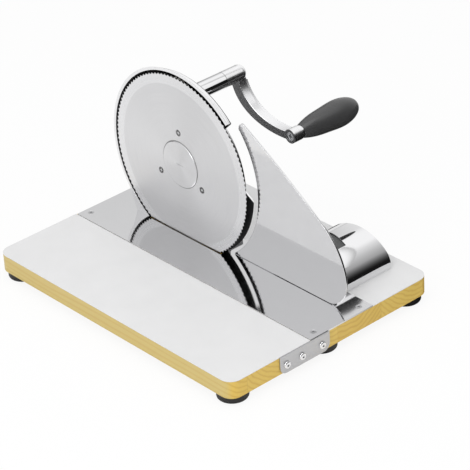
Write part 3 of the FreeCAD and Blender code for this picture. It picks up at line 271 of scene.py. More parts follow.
# The fan and bevel shares are painted highlights; the ring and band shares are the grinding's own tone.
RING_LIGHT, BAND_LIGHT, PAINTED_FAN_HIGHLIGHT, PAINTED_BEVEL_HIGHLIGHT, FIRST_LIGHT = 0.35, 0.15, 0.22, 0.30, 0.28
RING_DULLNESS, BAND_DULLNESS, SHADE_RING_DULLNESS, BEVEL_SHINE = 0.12, 0.06, 0.2, 0.08
DARKEST_STEEL, BRIGHTEST_STEEL = 0.80, 1.12
# Painted shade round the cap and the screws: its offset, widths, colour and cover.
CAP_SHADE_OFFSET, CAP_SHADE_WIDTH, SCREW_SHADE_WIDTH = 0.00035, 0.0006, 0.0007
PAINTED_SHADE_COLOUR, PAINTED_SHADE_COVER = (0.06, 0.06, 0.06), 0.85


def ring_mask(distance, radius, width):
    # 1 on a thin ring of that radius, fading out over its width.
    return (1 - (distance - radius).maths("ABSOLUTE") / width).clamp()


def length_of(across, up):
    return (across * across + up * up).maths("SQRT")


# Adds rings of painted shade round the three screw heads.
def shade_round_screws(cap_and_screw_shade, y, z):
    for lean in SCREW_LEANS:
        screw_y = BLADE_SCREW_CIRCLE * math.cos(lean)
        screw_z = BLADE_SCREW_CIRCLE * math.sin(lean)
        reach = length_of(y - screw_y, z - screw_z)
        cap_and_screw_shade = cap_and_screw_shade.maths("MAXIMUM", ring_mask(reach, SCREW_HEAD_RADIUS, SCREW_SHADE_WIDTH))
    return cap_and_screw_shade


def ring_ground(name, colour, roughness):
    finish = Finish(name, metallic=1.0)
    centred = finish.node("VectorMath", {"operation": "SUBTRACT"}, i0=finish.raw_place(),
                          i1=tuple(BLADE_CENTRE))
    x, y, z = finish.split(centred)
    distance = length_of(y, z)
    angle = z.maths("ARCTAN2", y)
    ring_place = finish.node("CombineXYZ", i0=distance * GRINDINGS_PER_METRE, i1=angle * GRINDING_DRIFT,
                             i2=x * GRINDING_LAYERS)
    rings = finish.noise(ring_place, 1.0, detail=3.0, roughness=0.6)
    band_place = finish.node("CombineXYZ", i0=distance * BANDS_PER_METRE, i1=angle * BAND_DRIFT)
    bands = finish.noise(band_place, 1.0, detail=2.0)
    # Two painted highlight fans on opposite sides, and five weaker ones that the bands bend.
    two_highlight_fans = (angle * 2.0 + HIGHLIGHT_FAN_START).maths("SINE") * TWO_HIGHLIGHT_FANS
    five_highlight_fans = (angle * 5.0 + bands * HIGHLIGHT_FAN_BEND).maths("SINE") * FIVE_HIGHLIGHT_FANS
    highlight_fans = two_highlight_fans + five_highlight_fans
    # The bevel's ring: a painted highlight in the colour, and a little less roughness.
    bevel = finish.ramp(distance, BLADE_BEVEL_RADIUS - BEVEL_BLUR, BLADE_BEVEL_RADIUS + BEVEL_BLUR)
    light = rings * RING_LIGHT + bands * BAND_LIGHT + highlight_fans * PAINTED_FAN_HIGHLIGHT + bevel * PAINTED_BEVEL_HIGHLIGHT + FIRST_LIGHT
    tint = finish.blend(light.clamp(), shaded(colour, DARKEST_STEEL), shaded(colour, BRIGHTEST_STEEL))
    # Painted shade: a thin dark ring just outside the cap and round each screw head, where shade falls in
    # the gaps.
    cap_and_screw_shade = ring_mask(distance, BLADE_CAP_RADIUS + CAP_SHADE_OFFSET, CAP_SHADE_WIDTH)
    cap_and_screw_shade = shade_round_screws(cap_and_screw_shade, y, z)
    tint = finish.blend(cap_and_screw_shade * PAINTED_SHADE_COVER, tint, PAINTED_SHADE_COLOUR)
    dullness = rings * RING_DULLNESS + bands * BAND_DULLNESS + cap_and_screw_shade * SHADE_RING_DULLNESS
    rough = dullness + roughness - bevel * BEVEL_SHINE
    surface = finish.bump(rings, GRINDING_STRENGTH, GRINDING_DEPTH)
    return finish.sink(base_color=tint, roughness=rough, normal=surface).material


blade_steel = ring_ground("ground_blade_steel", (0.76, 0.76, 0.77), 0.27)
print(blade_steel.name, "nodes:", len(blade_steel.node_tree.nodes))

# %% [markdown]
# ## Wood
# The board's edge shows pale hardwood glued from strips: long grain along its left side, and end grain
# with the arcs of yearly rings across the front. Each strip comes from another plank, so its rings have
# a heart of their own, a few centimetres above the board. The distance from that heart, which is a
# line along Y, is bent by a slow noise, and gives both looks from one pattern.

# %% Oiled hardwood
STRIP_WIDTH, STRIP_SHIFT = 0.058, 0.37
HEART_HEIGHT, HEART_RISE, HEART_ASIDE = 0.055, 0.04, 0.09
RING_WAVES, RING_START = 1350.0, 9.0
GRAIN_STRETCH, FIBRE_STRETCH = (1.0, 0.12, 1.0), (1.0, 0.03, 1.0)
SWAYS_PER_METRE, SWIRLS_PER_METRE, FIBRES_PER_METRE, CLOUDS_PER_METRE = 16.0, 55.0, 1200.0, 26.0
SWAY_ACROSS, SWAY_DEPTH, SWIRL_DEPTH = 0.012, 0.016, 0.006
LATE_WOOD_SHARE, FIBRE_SHARE, STRIP_SHARE, SWIRL_SHARE, PALE_START = 0.38, 0.30, 0.30, 0.3, 0.28
FIBRE_HEIGHT, LATE_WOOD_HEIGHT, WOOD_STRENGTH, WOOD_DEPTH = 0.6, 0.4, 0.15, 0.0002
WOOD_ROUGHNESS, FIBRE_DULLNESS = 0.36, 0.15
BOARD_FRONT, BOARD_REAR = at(0, 0, 0).y, at(0, 346.0, 0).y
END_GRAIN_FROM, END_GRAIN_TO = 0.002, 0.008
SIDE_PALE = (0.61, 0.46, 0.135), (0.69, 0.55, 0.215)
SIDE_DEEP = (0.55, 0.35, 0.075), (0.60, 0.42, 0.12)
END_PALE = (0.74, 0.50, 0.085), (0.80, 0.59, 0.15)
END_DEEP = (0.50, 0.26, 0.025), (0.60, 0.35, 0.05)
GLUE_LINE, GLUE_LINE_WIDTH, GLUE_LINE_COVER = (0.36, 0.21, 0.05), 0.009, 0.45
SEEDS = (0, 31)


def chance_of(finish, strip, seed):
    # One number between 0 and 1 for each strip.
    return finish.node("TexWhiteNoise", {"noise_dimensions": "1D"}, i1=strip + seed)


def hardwood(name):
    finish = Finish(name, coat_weight=0.12, coat_roughness=0.22)
    x, y, z = finish.split(finish.raw_place())
    along = finish.place(GRAIN_STRETCH)
    strip_place = x / STRIP_WIDTH + STRIP_SHIFT
    in_strip = strip_place.maths("FRACT")
    strip = strip_place.maths("FLOOR")
    chance, second_chance = (chance_of(finish, strip, seed) for seed in SEEDS)
    sway = finish.noise(along, SWAYS_PER_METRE, detail=3.0)
    swirl = finish.noise(along, SWIRLS_PER_METRE, detail=3.0)
    across = (in_strip - 0.5) * STRIP_WIDTH + (chance - 0.5) * HEART_ASIDE + sway * SWAY_ACROSS
    depth = z - HEART_HEIGHT - second_chance * HEART_RISE + sway * SWAY_DEPTH + swirl * SWIRL_DEPTH
    # A sine runs from -1 to 1; halved and raised it runs from 0 to 1.
    wave = (length_of(across, depth) * RING_WAVES + chance * RING_START).maths("SINE") * 0.5 + 0.5
    late_wood = wave * wave * wave
    fibre = finish.noise(finish.place(FIBRE_STRETCH), FIBRES_PER_METRE, detail=3.0, roughness=0.6)
    cloud = finish.noise(along, CLOUDS_PER_METRE, detail=4.0, roughness=0.6)
    from_end = (y - BOARD_FRONT).maths("MINIMUM", (y - BOARD_REAR) * -1)
    end_grain = 1 - finish.ramp(from_end, END_GRAIN_FROM, END_GRAIN_TO)
    pale = finish.blend(end_grain, finish.blend(cloud, *SIDE_PALE), finish.blend(second_chance, *END_PALE))
    deep = finish.blend(end_grain, finish.blend(second_chance, *SIDE_DEEP), finish.blend(cloud, *END_DEEP))
    lines = late_wood * LATE_WOOD_SHARE + fibre * FIBRE_SHARE
    share = lines + chance * STRIP_SHARE + swirl * SWIRL_SHARE - PALE_START
    tone = finish.blend(share.clamp(), pale, deep)
    glue = ring_mask(in_strip, 0.0, GLUE_LINE_WIDTH) * GLUE_LINE_COVER
    tone = finish.blend(glue, tone, GLUE_LINE)
    rough = fibre * FIBRE_DULLNESS + WOOD_ROUGHNESS
    height = fibre * FIBRE_HEIGHT + late_wood * LATE_WOOD_HEIGHT
    surface = finish.bump(height, WOOD_STRENGTH, WOOD_DEPTH)
    return finish.sink(base_color=tone, roughness=rough, normal=surface).material


wood = hardwood("oiled_hardwood")
print(wood.name, "nodes:", len(wood.node_tree.nodes))

# %% [markdown]
# ## Plastics, laminate and rubber
# Moulded plastic shows a fine leathery grain and slightly uneven gloss. The laminate is smooth and
# almost white, with a soft sheen. Rubber is nearly black and dull. They differ in colour, gloss and
# the fineness of the grain, so one function makes them all.

# %% Moulded surfaces
GLOSS_PATCHES, GLOSS_TINT = 35.0, 0.93
GRAIN_DULLNESS, GLOSS_DULLNESS, GRAIN_DEPTH = 0.12, 0.06, 0.0001


def moulded(name, colour, roughness, grains_per_metre, strength, coat=0.0):
    finish = Finish(name, coat_weight=coat, coat_roughness=0.2)
    where = finish.place()
    grain = finish.noise(where, grains_per_metre, detail=3.0, roughness=0.6)
    patches = finish.noise(where, GLOSS_PATCHES, detail=2.0)
    tint = finish.blend(patches, shaded(colour, GLOSS_TINT), colour)
    rough = grain * GRAIN_DULLNESS + patches * GLOSS_DULLNESS + roughness
    surface = finish.bump(grain, strength, GRAIN_DEPTH)
    return finish.sink(base_color=tint, roughness=rough, normal=surface).material


laminate = moulded("white_laminate", (0.775, 0.775, 0.778), 0.30, 1800.0, 0.03, coat=0.15)
grip_plastic = moulded("grip_plastic", (0.046, 0.046, 0.047), 0.36, 2600.0, 0.06, coat=0.4)
slide_plastic = moulded("slide_plastic", (0.085, 0.088, 0.088), 0.42, 2200.0, 0.08)
gear_plastic = moulded("gear_plastic", (0.76, 0.75, 0.70), 0.36, 900.0, 0.03)
black_rubber = moulded("black_rubber", (0.010, 0.010, 0.010), 0.34, 1600.0, 0.10)
# Painted shade: near black for the inside of the housing, where shade falls.
housing_painted_shade = moulded("housing_inside_painted_shade", (0.012, 0.012, 0.013), 0.5, 900.0, 0.05)
print("materials in the file:", len(bpy.data.materials))

# %% [markdown]
# Every node of the CAD model gets the finish of its material slot, so the pieces that stay as they
# are look finished too.

# %% Finishes on the CAD nodes
finish_of_slot = {
    "wood": wood, "laminate": laminate, "track_steel": mirror_steel, "brushed_steel": brushed_steel,
    "blade_steel": blade_steel, "chrome": chrome, "screw_steel": screw_steel,
    "shaft_steel": shaft_steel, "bronze": bronze, "gear_plastic": gear_plastic,
    "grey_plastic": grip_plastic, "slide_plastic": slide_plastic, "black_rubber": black_rubber,
}
for part in frame["record"]["subparts"]:
    mesh = nodes[part["node"]].data
    mesh.materials.clear()
    mesh.materials.append(finish_of_slot[part["material_slot"]])
print("material slots with a finish:", len(finish_of_slot))

# %% [markdown]
# ## Working by hand
# The pieces are made with the operators that a person would use. These helpers go into edit mode, pick
# faces, edges or points by where they are, and finish a piece: its place goes into its mesh, it is
# shaded smooth up to a given angle, and it rides on its body.

# %% Edit mode helpers
STORES = {"FACE": "polygons", "EDGE": "edges", "VERT": "vertices"}


def work_on(piece):
    if bpy.context.object and bpy.context.object.mode == "EDIT":
        bpy.ops.object.mode_set(mode="OBJECT")
    bpy.ops.object.select_all(action="DESELECT")
    piece.select_set(True)
    bpy.context.view_layer.objects.active = piece


def middle(piece, item):
    if hasattr(item, "center"):
        return piece.matrix_world @ item.center
    places = [piece.data.vertices[i].co for i in getattr(item, "vertices", [])] or [item.co]
    return piece.matrix_world @ (sum(places, Vector()) / len(places))


def pick(piece, kind, test):
    """Selects the faces, edges or points whose middle passes the test, and stays in edit mode."""
    work_on(piece)
    bpy.ops.object.mode_set(mode="EDIT")
    bpy.ops.mesh.select_mode(type=kind)
    bpy.ops.mesh.select_all(action="DESELECT")
    bpy.ops.object.mode_set(mode="OBJECT")
    found = 0
    for item in getattr(piece.data, STORES[kind]):
        item.select = bool(test(middle(piece, item), item))
        found += item.select
    bpy.ops.object.mode_set(mode="EDIT")
    return found


def apply_modifier(piece, kind, **settings):
    work_on(piece)
    modifier = piece.modifiers.new(kind.lower(), kind)
    for key, setting in settings.items():
        setattr(modifier, key, setting)
    bpy.ops.object.modifier_apply(modifier=modifier.name)


def finish_piece(piece, name, body, material, stands_for, smooth):
    work_on(piece)
    bpy.ops.object.transform_apply(location=True, rotation=True, scale=True)
    bpy.ops.object.shade_smooth_by_angle(angle=math.radians(smooth))
    piece.name = piece.data.name = name
    piece.data.materials.clear()
    piece.data.materials.append(material)
    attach(piece, body)
    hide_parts(*stands_for)
    print(name, "faces:", len(piece.data.polygons))


# %% [markdown]
# ## Machined pieces
# Sheet and cast pieces of the CAD model have the right shape, but real metal never has a perfectly
# sharp edge: a fine bevel catches a line of light. A copy of each such node is merged, its flat parts
# are made single faces, and its edges get a small bevel.

# %% Bevelled copies of CAD nodes
slot_of = {part["node"]: part["material_slot"] for part in frame["record"]["subparts"]}
body_of = {node: body for body, names in frame["record"]["behaviour"]["bodies"].items() for node in names}
MERGE_DISTANCE, FLAT_ANGLE = 0.000002, math.radians(0.6)
SHARP_ANGLE = 35.0


def refined(node, edge, material=None, reshape=None):
    piece = nodes[node].copy()
    piece.data = nodes[node].data.copy()
    piece.parent = None
    for key in list(piece.keys()):
        del piece[key]
    bpy.context.scene.collection.objects.link(piece)
    work_on(piece)
    bpy.ops.object.mode_set(mode="EDIT")
    bpy.ops.mesh.select_all(action="SELECT")
    bpy.ops.mesh.remove_doubles(threshold=MERGE_DISTANCE)
    bpy.ops.mesh.dissolve_limited(angle_limit=FLAT_ANGLE)
    bpy.ops.object.mode_set(mode="OBJECT")
    if reshape:
        reshape(piece)
        bpy.ops.object.mode_set(mode="OBJECT")
    if edge:
        apply_modifier(piece, "BEVEL", width=edge * MM, segments=2, limit_method="ANGLE",
                       angle_limit=math.radians(SHARP_ANGLE), miter_outer="MITER_ARC")
    slot = slot_of[node]
    finish = material or finish_of_slot[slot]
    finish_piece(piece, node + "_finished", body_of[node], finish, (node,), SHARP_ANGLE)
    apply_modifier(piece, "WEIGHTED_NORMAL", keep_sharp=True)
    return piece


# %% [markdown]
# Two nodes also change their shape a little. The housing is pressed from sheet, and its front edge
# opens like a very shallow trumpet. The arm is cast, and is deeper between its hub and its end than
# at either. Both changes only move points that are there: the ones in the plane of that edge.

# %% Flared housing and deeper arm
SAME_PLACE = 0.0001
HOUSING_FRONT = at(147.7, 0, 0).x
# The inner and the outer radius of the rim, each before and after it is opened.
RIM_RADII = {0.0980: 0.0990, 0.1002: 0.1022}
RIM_SET_BACK = 0.0013
ARM_BACK, ARM_ROUNDING, ARM_SWELL = at(237.5, 0, 0).x, 0.0012, 0.0013
CRANK_AXIS, ARM_BOSS = at(0, 230.0, 152.0), at(0, 152.8, 110.4)
HUB_REACH, BOSS_REACH = 0.0088, 0.0105


def from_axis(place, axis):
    return math.hypot(place.y - axis.y, place.z - axis.z)


def flare_housing(piece):
    """Opens the housing's front edge a little, as the pressed rim of the real one does."""
    for radius, flared in RIM_RADII.items():
        count = pick(piece, "VERT", lambda place, point: abs(place.x - HOUSING_FRONT) < SAME_PLACE
                     and abs(from_axis(place, BLADE_CENTRE) - radius) < SAME_PLACE)
        grow = flared / radius
        bpy.ops.transform.resize(value=(1, grow, grow), center_override=BLADE_CENTRE)
        print("rim points flared:", count)
    pick(piece, "VERT", lambda place, point: abs(place.x - HOUSING_FRONT) < SAME_PLACE)
    bpy.ops.transform.translate(value=(RIM_SET_BACK, 0, 0))


def swell_arm(piece):
    """Makes the arm a little deeper between its hub and its end boss, as in the casting."""
    count = pick(piece, "VERT", lambda place, point: abs(place.x - ARM_BACK) < ARM_ROUNDING
                 and from_axis(place, CRANK_AXIS) > HUB_REACH
                 and from_axis(place, ARM_BOSS) > BOSS_REACH)
    bpy.ops.transform.translate(value=(ARM_SWELL, 0, 0))
    print("arm points moved out:", count)


# %% [markdown]
# Each node gets a bevel as wide as its real edge is rounded, in millimetres: half a millimetre on the
# wood, and far less on thin sheet. The grip is one smooth curve, and needs none. Three pieces get a
# finish of their own in place of their slot's: the housing and the arm are a little less than mirror
# bright, and the gauge plate is mirror-polished steel.

# %% Dressing the nodes
EDGE_WIDTHS = {
    "board": 0.5, "laminate_left": 0.15, "laminate_right": 0.15, "track_plate": 0.12,
    "track_screws": 0.06, "edge_plate": 0.25, "rubber_feet": 0.2, "blade_housing": 0.3,
    "blade_screws": 0.06, "blade_cap": 0.08, "gauge_plate": 0.3, "crank_tube": 0.3, "crank_arm": 0.2,
    "handle_pin": 0.1, "handle_grip": 0.0, "handle_ferrule": 0.2, "slide_cover": 0.15,
    "cover_end_cap": 0.3, "gauge_saddle": 0.25, "gauge_bracket": 0.3, "guide_bed": 0.3,
    "housing_stand": 0.3, "blade_bearing": 0.25, "stand_screws": 0.1,
}
own_finish = {"blade_housing": satin_chrome, "gauge_plate": mirror_steel, "crank_arm": satin_chrome}
reshaped = {"blade_housing": flare_housing, "crank_arm": swell_arm}
dressed = {node: refined(node, edge, own_finish.get(node), reshaped.get(node))
           for node, edge in EDGE_WIDTHS.items()}

# %% [markdown]
# The inside of the housing is painted near black, a painted shade for the dark deep inside, so a
# black ring shows round the blade. The arm's flat inner face gets a dark metal, a painted dark
# reflection next to its polished sides. A piece may have several materials, and each of its faces
# says which of them it wears.

# %% Inside of the housing and face of the arm
INSIDE_RADIUS = 0.0990
INSIDE_FROM, INSIDE_TO = at(149.2, 0, 0).x, at(157.7, 0, 0).x
ARM_FACE, ARM_FACE_REACH = at(226.0, 0, 0).x, 0.0004
FACES_BLADE = -0.9


def paint_faces(piece, material, test):
    """Gives the faces that pass the test a material of their own."""
    piece.data.materials.append(material)
    found = pick(piece, "FACE", test)
    piece.active_material_index = len(piece.data.materials) - 1
    bpy.ops.object.material_slot_assign()
    bpy.ops.object.mode_set(mode="OBJECT")
    print(piece.name, material.name, "on", found, "faces")


def inside_housing(place, face):
    return from_axis(place, BLADE_CENTRE) < INSIDE_RADIUS and INSIDE_FROM < place.x < INSIDE_TO


def on_arm_face(place, face):
    return abs(place.x - ARM_FACE) < ARM_FACE_REACH and face.normal.x < FACES_BLADE


paint_faces(dressed["blade_housing"], housing_painted_shade, inside_housing)
# The arm's inner face gets a painted dark reflection.
paint_faces(dressed["crank_arm"], arm_face_painted_dark, on_arm_face)

# %% [markdown]
# ## Screws of the edge plate
# Three small dome-headed screws hold the edge plate. Each head starts as a cylinder lying along Y. The
# back is inset and drawn out into the shank, the rim of its outer end is bevelled widely into a dome,
# and a smaller inset, pushed in, makes the recess for the driver.

# %% Dome-headed screws
EDGE_SCREW_XS, EDGE_SCREW_Z = (69.5, 89.2, 115.1), -11.0
HEAD_RADIUS, HEAD_HEIGHT, HEAD_CORNERS = 0.0040, 0.0018, 40
DOME_ROUND, DOME_STEPS = 0.0014, 5
SHANK_RADIUS, SHANK_LENGTH = 0.0015, 0.012
RECESS_INSET, RECESS_DEPTH = 0.0011, 0.0009
DOME_SMOOTH = 40.0
head_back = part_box("edge_plate")[0].y
head_front = head_back - HEAD_HEIGHT


def edge_screw(x):
    bpy.ops.object.select_all(action="DESELECT")
    spot = at(x, 0, EDGE_SCREW_Z)
    spot.y = head_back - HEAD_HEIGHT / 2
    bpy.ops.mesh.primitive_cylinder_add(vertices=HEAD_CORNERS, radius=HEAD_RADIUS, depth=HEAD_HEIGHT,
                                        location=spot, rotation=(math.pi / 2, 0, 0))
    screw = bpy.context.object
    pick(screw, "FACE", lambda place, face: place.y > head_back - SAME_PLACE)
    bpy.ops.mesh.inset(thickness=HEAD_RADIUS - SHANK_RADIUS, depth=0)
    bpy.ops.mesh.extrude_region_move(TRANSFORM_OT_translate={"value": (0, SHANK_LENGTH, 0)})
    pick(screw, "EDGE", lambda place, edge: place.y < head_front + SAME_PLACE)
    bpy.ops.mesh.bevel(offset=DOME_ROUND, segments=DOME_STEPS, affect="EDGES")
    pick(screw, "FACE", lambda place, face: place.y < head_front + SAME_PLACE and len(face.vertices) > 4)
    bpy.ops.mesh.inset(thickness=RECESS_INSET, depth=0)
    bpy.ops.mesh.extrude_region_move(TRANSFORM_OT_translate={"value": (0, RECESS_DEPTH, 0)})
    bpy.ops.object.mode_set(mode="OBJECT")
    return screw


screws = [edge_screw(x) for x in EDGE_SCREW_XS]
work_on(screws[0])
for screw in screws:
    screw.select_set(True)
bpy.ops.object.join()
finish_piece(screws[0], "edge_plate_dome_screws", "base", chrome,
             ("edge_plate_screws",), DOME_SMOOTH)

# %% [markdown]
# ## Blade
# The blade is a thin steel disc with a ground bevel and 120 shallow scallops between sharp points. It
# starts as a circle with six points to a tooth. Extruding gives the thin edge, and an inset on each
# side gives the bevels, slight in front and steeper behind.

# %% Disc of the blade
TOOTH_COUNT, POINTS_PER_TOOTH = 120, 6
BLADE_RADIUS, TOOTH_DEPTH = 0.0965, 0.0017
EDGE_BACK, EDGE_THICKNESS = 149.1, 0.0003
BEVEL_WIDTH, FRONT_RISE, BACK_RISE = 0.011, 0.0003, 0.0010
edge_middle = at(EDGE_BACK, BLADE_AXIS_Y, BLADE_AXIS_Z)

bpy.ops.object.select_all(action="DESELECT")
bpy.ops.mesh.primitive_circle_add(vertices=TOOTH_COUNT * POINTS_PER_TOOTH, radius=BLADE_RADIUS,
                                  fill_type="NGON", location=edge_middle, rotation=(0, -math.pi / 2, 0))
blade = bpy.context.object
pick(blade, "FACE", lambda place, face: True)
bpy.ops.mesh.extrude_region_move(TRANSFORM_OT_translate={"value": (-EDGE_THICKNESS, 0, 0)})
bpy.ops.mesh.inset(thickness=BEVEL_WIDTH, depth=0)
bpy.ops.transform.translate(value=(-FRONT_RISE, 0, 0))
pick(blade, "FACE", lambda place, face: abs(place.x - edge_middle.x) < SAME_PLACE)
bpy.ops.mesh.inset(thickness=BEVEL_WIDTH, depth=0)
bpy.ops.transform.translate(value=(BACK_RISE, 0, 0))
bpy.ops.object.mode_set(mode="OBJECT")
print("blade faces before the teeth:", len(blade.data.polygons))

# %% [markdown]
# Every sixth rim point stays where it is and becomes a tooth's tip. The five between two tips are
# pulled inwards, the middle one by the whole depth and the others by less, on a parabola. All points
# with the same place in their tooth are pulled in one step, so five steps cut all the scallops.

# %% Teeth of the blade
HALF_TOOTH = POINTS_PER_TOOTH / 2
BLADE_SMOOTH = 4.0


def tooth_phase(place):
    turn = math.atan2(place.z - BLADE_CENTRE.z, place.y - BLADE_CENTRE.y) / (2 * math.pi)
    return round(turn * TOOTH_COUNT * POINTS_PER_TOOTH) % POINTS_PER_TOOTH


def on_rim(place):
    return from_axis(place, BLADE_CENTRE) > BLADE_RADIUS - SAME_PLACE


for phase in range(1, POINTS_PER_TOOTH):
    pulled = 1 - ((phase - HALF_TOOTH) / HALF_TOOTH) ** 2
    count = pick(blade, "VERT", lambda place, point: on_rim(place) and tooth_phase(place) == phase)
    shrink = 1 - pulled * TOOTH_DEPTH / BLADE_RADIUS
    bpy.ops.transform.resize(value=(1, shrink, shrink), center_override=BLADE_CENTRE)
    print("rim points pulled in:", count, "to", round(shrink * BLADE_RADIUS / MM, 2), "mm")
bpy.ops.object.mode_set(mode="OBJECT")
finish_piece(blade, "blade_disc", "blade_assembly", blade_steel, ("blade",), BLADE_SMOOTH)

# %% [markdown]
# ## Camera
# The photograph was taken with a long lens from the front left, looking down by some thirty degrees.
# The numbers below are a camera fitted to the edges of the board, the blade's screws and the gauge.
# A camera looks along its own -Z, so the third column of its matrix points backwards.

# %% Camera
YAW, PITCH, ROLL = (math.radians(a) for a in (49.3151, 30.6405, -3.3610))
LENS, SENSOR = 193.617, 36.0
AIM, CAMERA_DISTANCE = at(183.532, 194.4405, 0), 2.53353
CLIP_NEAR, CLIP_FAR = 0.1, 50.0
forward = Vector((math.cos(PITCH) * math.cos(YAW), math.cos(PITCH) * math.sin(YAW), -math.sin(PITCH)))
level = Vector((math.sin(YAW), -math.cos(YAW), 0))
upright = level.cross(forward)
right = level * math.cos(ROLL) + upright * math.sin(ROLL)
up = upright * math.cos(ROLL) - level * math.sin(ROLL)
camera_data = bpy.data.cameras.new("camera")
camera_data.lens, camera_data.sensor_width = LENS, SENSOR
camera_data.clip_start, camera_data.clip_end = CLIP_NEAR, CLIP_FAR
camera = bpy.data.objects.new("camera", camera_data)
turned = Matrix((right, up, -forward)).transposed().to_4x4()
camera.matrix_world = Matrix.Translation(AIM - forward * CAMERA_DISTANCE) @ turned
bpy.context.scene.collection.objects.link(camera)
bpy.context.scene.camera = camera
print("camera stands at", [round(length, 3) for length in camera.matrix_world.translation])

# %% [markdown]
# ## Studio
# A plain white floor and a white room. Bright metal is only as good as what it reflects, so in
# reflections the floor and the room also have dark parts, as a photographer's black cards would give.
# The floor is dark right of the blade, on the user's side. The camera itself sees plain white: for
# it, nine tenths of the floor glow white by themselves, and one tenth keeps the light and the soft
# shadow that fall on it.

# %% Floor
SEEN_WHITE = 0.90
FLOOR_SIZE, FLOOR_DROP = 12, -0.0002
FLOOR_LIGHT, FLOOR_DARK = (0.88, 0.88, 0.88), (0.01, 0.01, 0.01)
FLOOR_DARK_FROM, FLOOR_DARK_TO = at(150, 0, 0).x, at(270, 0, 0).x
FLOOR_PALE_FROM, FLOOR_PALE_TO = at(0, 200, 0).y, at(0, 280, 0).y

bpy.ops.object.select_all(action="DESELECT")
bpy.ops.mesh.primitive_plane_add(size=FLOOR_SIZE, location=(0, 0, FLOOR_DROP))
floor = bpy.context.object
floor.name = "floor"
white = Finish("floor_white", roughness=0.9, specular_ior_level=0.0)
seen, mirrored = (white.node("LightPath", out=ray) for ray in (CAMERA_RAY, GLOSSY_RAY))
floor_x, floor_y, _ = white.split(white.raw_place())
right_side = white.ramp(floor_x, FLOOR_DARK_FROM, FLOOR_DARK_TO)
users_side = 1 - white.ramp(floor_y, FLOOR_PALE_FROM, FLOOR_PALE_TO)
white.sink(base_color=white.blend(mirrored * right_side * users_side, FLOOR_LIGHT, FLOOR_DARK))
lit = Value(white.tree, white.shader.outputs[0])
glow = white.node("Emission", Color=(1, 1, 1, 1))
lit_or_glowing = white.node("MixShader", i0=seen * SEEN_WHITE, i1=lit, i2=glow)
white.feed(white.tree.nodes["Material Output"].inputs[0], lit_or_glowing)
floor.data.materials.append(white.material)
print("floor's white as the camera sees it:", SEEN_WHITE)

# %% [markdown]
# The room is the world's background. Its coordinates are the direction of a ray, so a band or a fade
# is a ramp on x, y or z of that direction. What a ray finds depends on where it comes from: the camera
# sees white, a mirror sees the room with its dark parts, and dull surfaces get an even light. In the
# mirrored room it gets slowly darker towards the user, and behind there is a low dark band, which
# ends at the far right, where it is light down to the floor.

# %% World
VIEW_DIRECTION = 0
BEHIND = (-0.05, 0.20)
FADE_START, FADE_LENGTH, FADE_POWER = 0.80, 0.93, 1.15
BAND_TOP, SKY_RISE, SKY_SHARE = (0.27, 0.31), (0.35, 0.70), 0.4
FAR_RIGHT, FLOOR_LINE = (0.54, 0.62), (-0.10, 0.05)
ROOM_BLACK, ROOM_WHITE = (0.008, 0.008, 0.008), (1.0, 1.0, 1.0)
EVEN_HEIGHTS, EVEN_LOW, EVEN_HIGH = (-0.3, 0.8), (0.50, 0.50, 0.50), (0.70, 0.70, 0.70)

world = bpy.data.worlds.new("studio")
bpy.context.scene.world = world
world.use_nodes = True


class Sky(Finish):
    """The same node helper, working in the world's tree."""

    def __init__(self, tree):
        self.tree = tree


sky = Sky(world.node_tree)
x, y, z = sky.split(sky.node("TexCoord", out=VIEW_DIRECTION))
behind = sky.ramp(y, *BEHIND)
towards_user = ((y + FADE_START) / FADE_LENGTH).clamp().maths("POWER", FADE_POWER)
above_band = sky.ramp(z, *BAND_TOP) * (sky.ramp(z, *SKY_RISE) * SKY_SHARE + (1 - SKY_SHARE))
beside_band = sky.ramp(x, *FAR_RIGHT) * sky.ramp(z, *FLOOR_LINE)
room_light = towards_user * (1 - behind) + above_band.maths("MAXIMUM", beside_band) * behind
room = sky.blend(room_light, ROOM_BLACK, ROOM_WHITE)
even = sky.blend(sky.ramp(z, *EVEN_HEIGHTS), EVEN_LOW, EVEN_HIGH)
found = sky.blend(sky.node("LightPath", out=GLOSSY_RAY), even, room)
found = sky.blend(sky.node("LightPath", out=CAMERA_RAY), found, ROOM_WHITE)
background = world.node_tree.nodes["Background"]
sky.feed(background.inputs["Color"], found)
background.inputs["Strength"].default_value = 1.0
print(world.name, "nodes:", len(world.node_tree.nodes))

# %% [markdown]
# A white card hangs near the crank, out of the camera's sight. It lights nothing: it is only there to
# be mirrored. It fades downwards and gives the tube, hub and arm their bright bands.

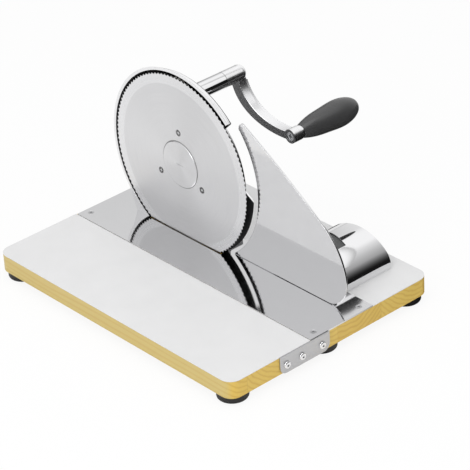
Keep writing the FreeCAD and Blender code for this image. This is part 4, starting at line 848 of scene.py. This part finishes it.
# %% White card
CARD_SIZE, CARD_CENTRE, CARD_TURN = 0.20, at(378.0, 45.0, 345.0), (0, -math.pi / 2, 0)
CARD_STRENGTH, CARD_FAINTEST = 0.92, 0.15
CARD_FAINT_BELOW, CARD_FULL_ABOVE = at(0, 0, 230.0).z, at(0, 0, 270.0).z

bpy.ops.object.select_all(action="DESELECT")
bpy.ops.mesh.primitive_plane_add(size=CARD_SIZE, location=CARD_CENTRE, rotation=CARD_TURN)
card = bpy.context.object
card.name = "crank_card"
bpy.ops.object.transform_apply(location=True, rotation=True, scale=True)
for sight in ("visible_camera", "visible_diffuse", "visible_shadow", "visible_transmission"):
    setattr(card, sight, False)
glowing = Finish("crank_card")
height = glowing.split(glowing.raw_place())[2]
light = glowing.ramp(height, CARD_FAINT_BELOW, CARD_FULL_ABOVE) * (1 - CARD_FAINTEST) + CARD_FAINTEST
glowing.sink(base_color=(0, 0, 0, 1), emission_color=glowing.blend(light, (0, 0, 0), (1, 1, 1)))
glowing.shader.inputs["Emission Strength"].default_value = CARD_STRENGTH
card.data.materials.append(glowing.material)
print("card's lowest point:", round(min(point.co.z for point in card.data.vertices), 3))

# %% [markdown]
# Two large lamps give soft shadows: one above, and a weaker one from the left that shows the blade's
# face. Large lamps far away are easier to keep even than small ones near the object. The Standard
# view shows each colour about as it is written.

# %% Lamps
def soft_lamp(name, place, aim, size, watts):
    lamp_data = bpy.data.lights.new(name, "AREA")
    lamp_data.shape = "RECTANGLE"
    lamp_data.size, lamp_data.size_y = size
    lamp_data.energy = watts
    lamp = bpy.data.objects.new(name, lamp_data)
    lamp.location = place
    lamp.rotation_euler = (Vector(aim) - Vector(place)).to_track_quat("-Z", "Y").to_euler()
    lamp.visible_camera = False
    bpy.context.scene.collection.objects.link(lamp)
    print(name, "watts:", watts)


soft_lamp("top_lamp", (-0.2, -0.2, 1.6), aim=(0, 0, 0.05), size=(1.6, 1.2), watts=10)
soft_lamp("left_lamp", (-1.5, -0.6, 0.9), aim=(0, 0, 0.08), size=(0.9, 0.9), watts=7)
bpy.context.scene.view_settings.view_transform = "Standard"
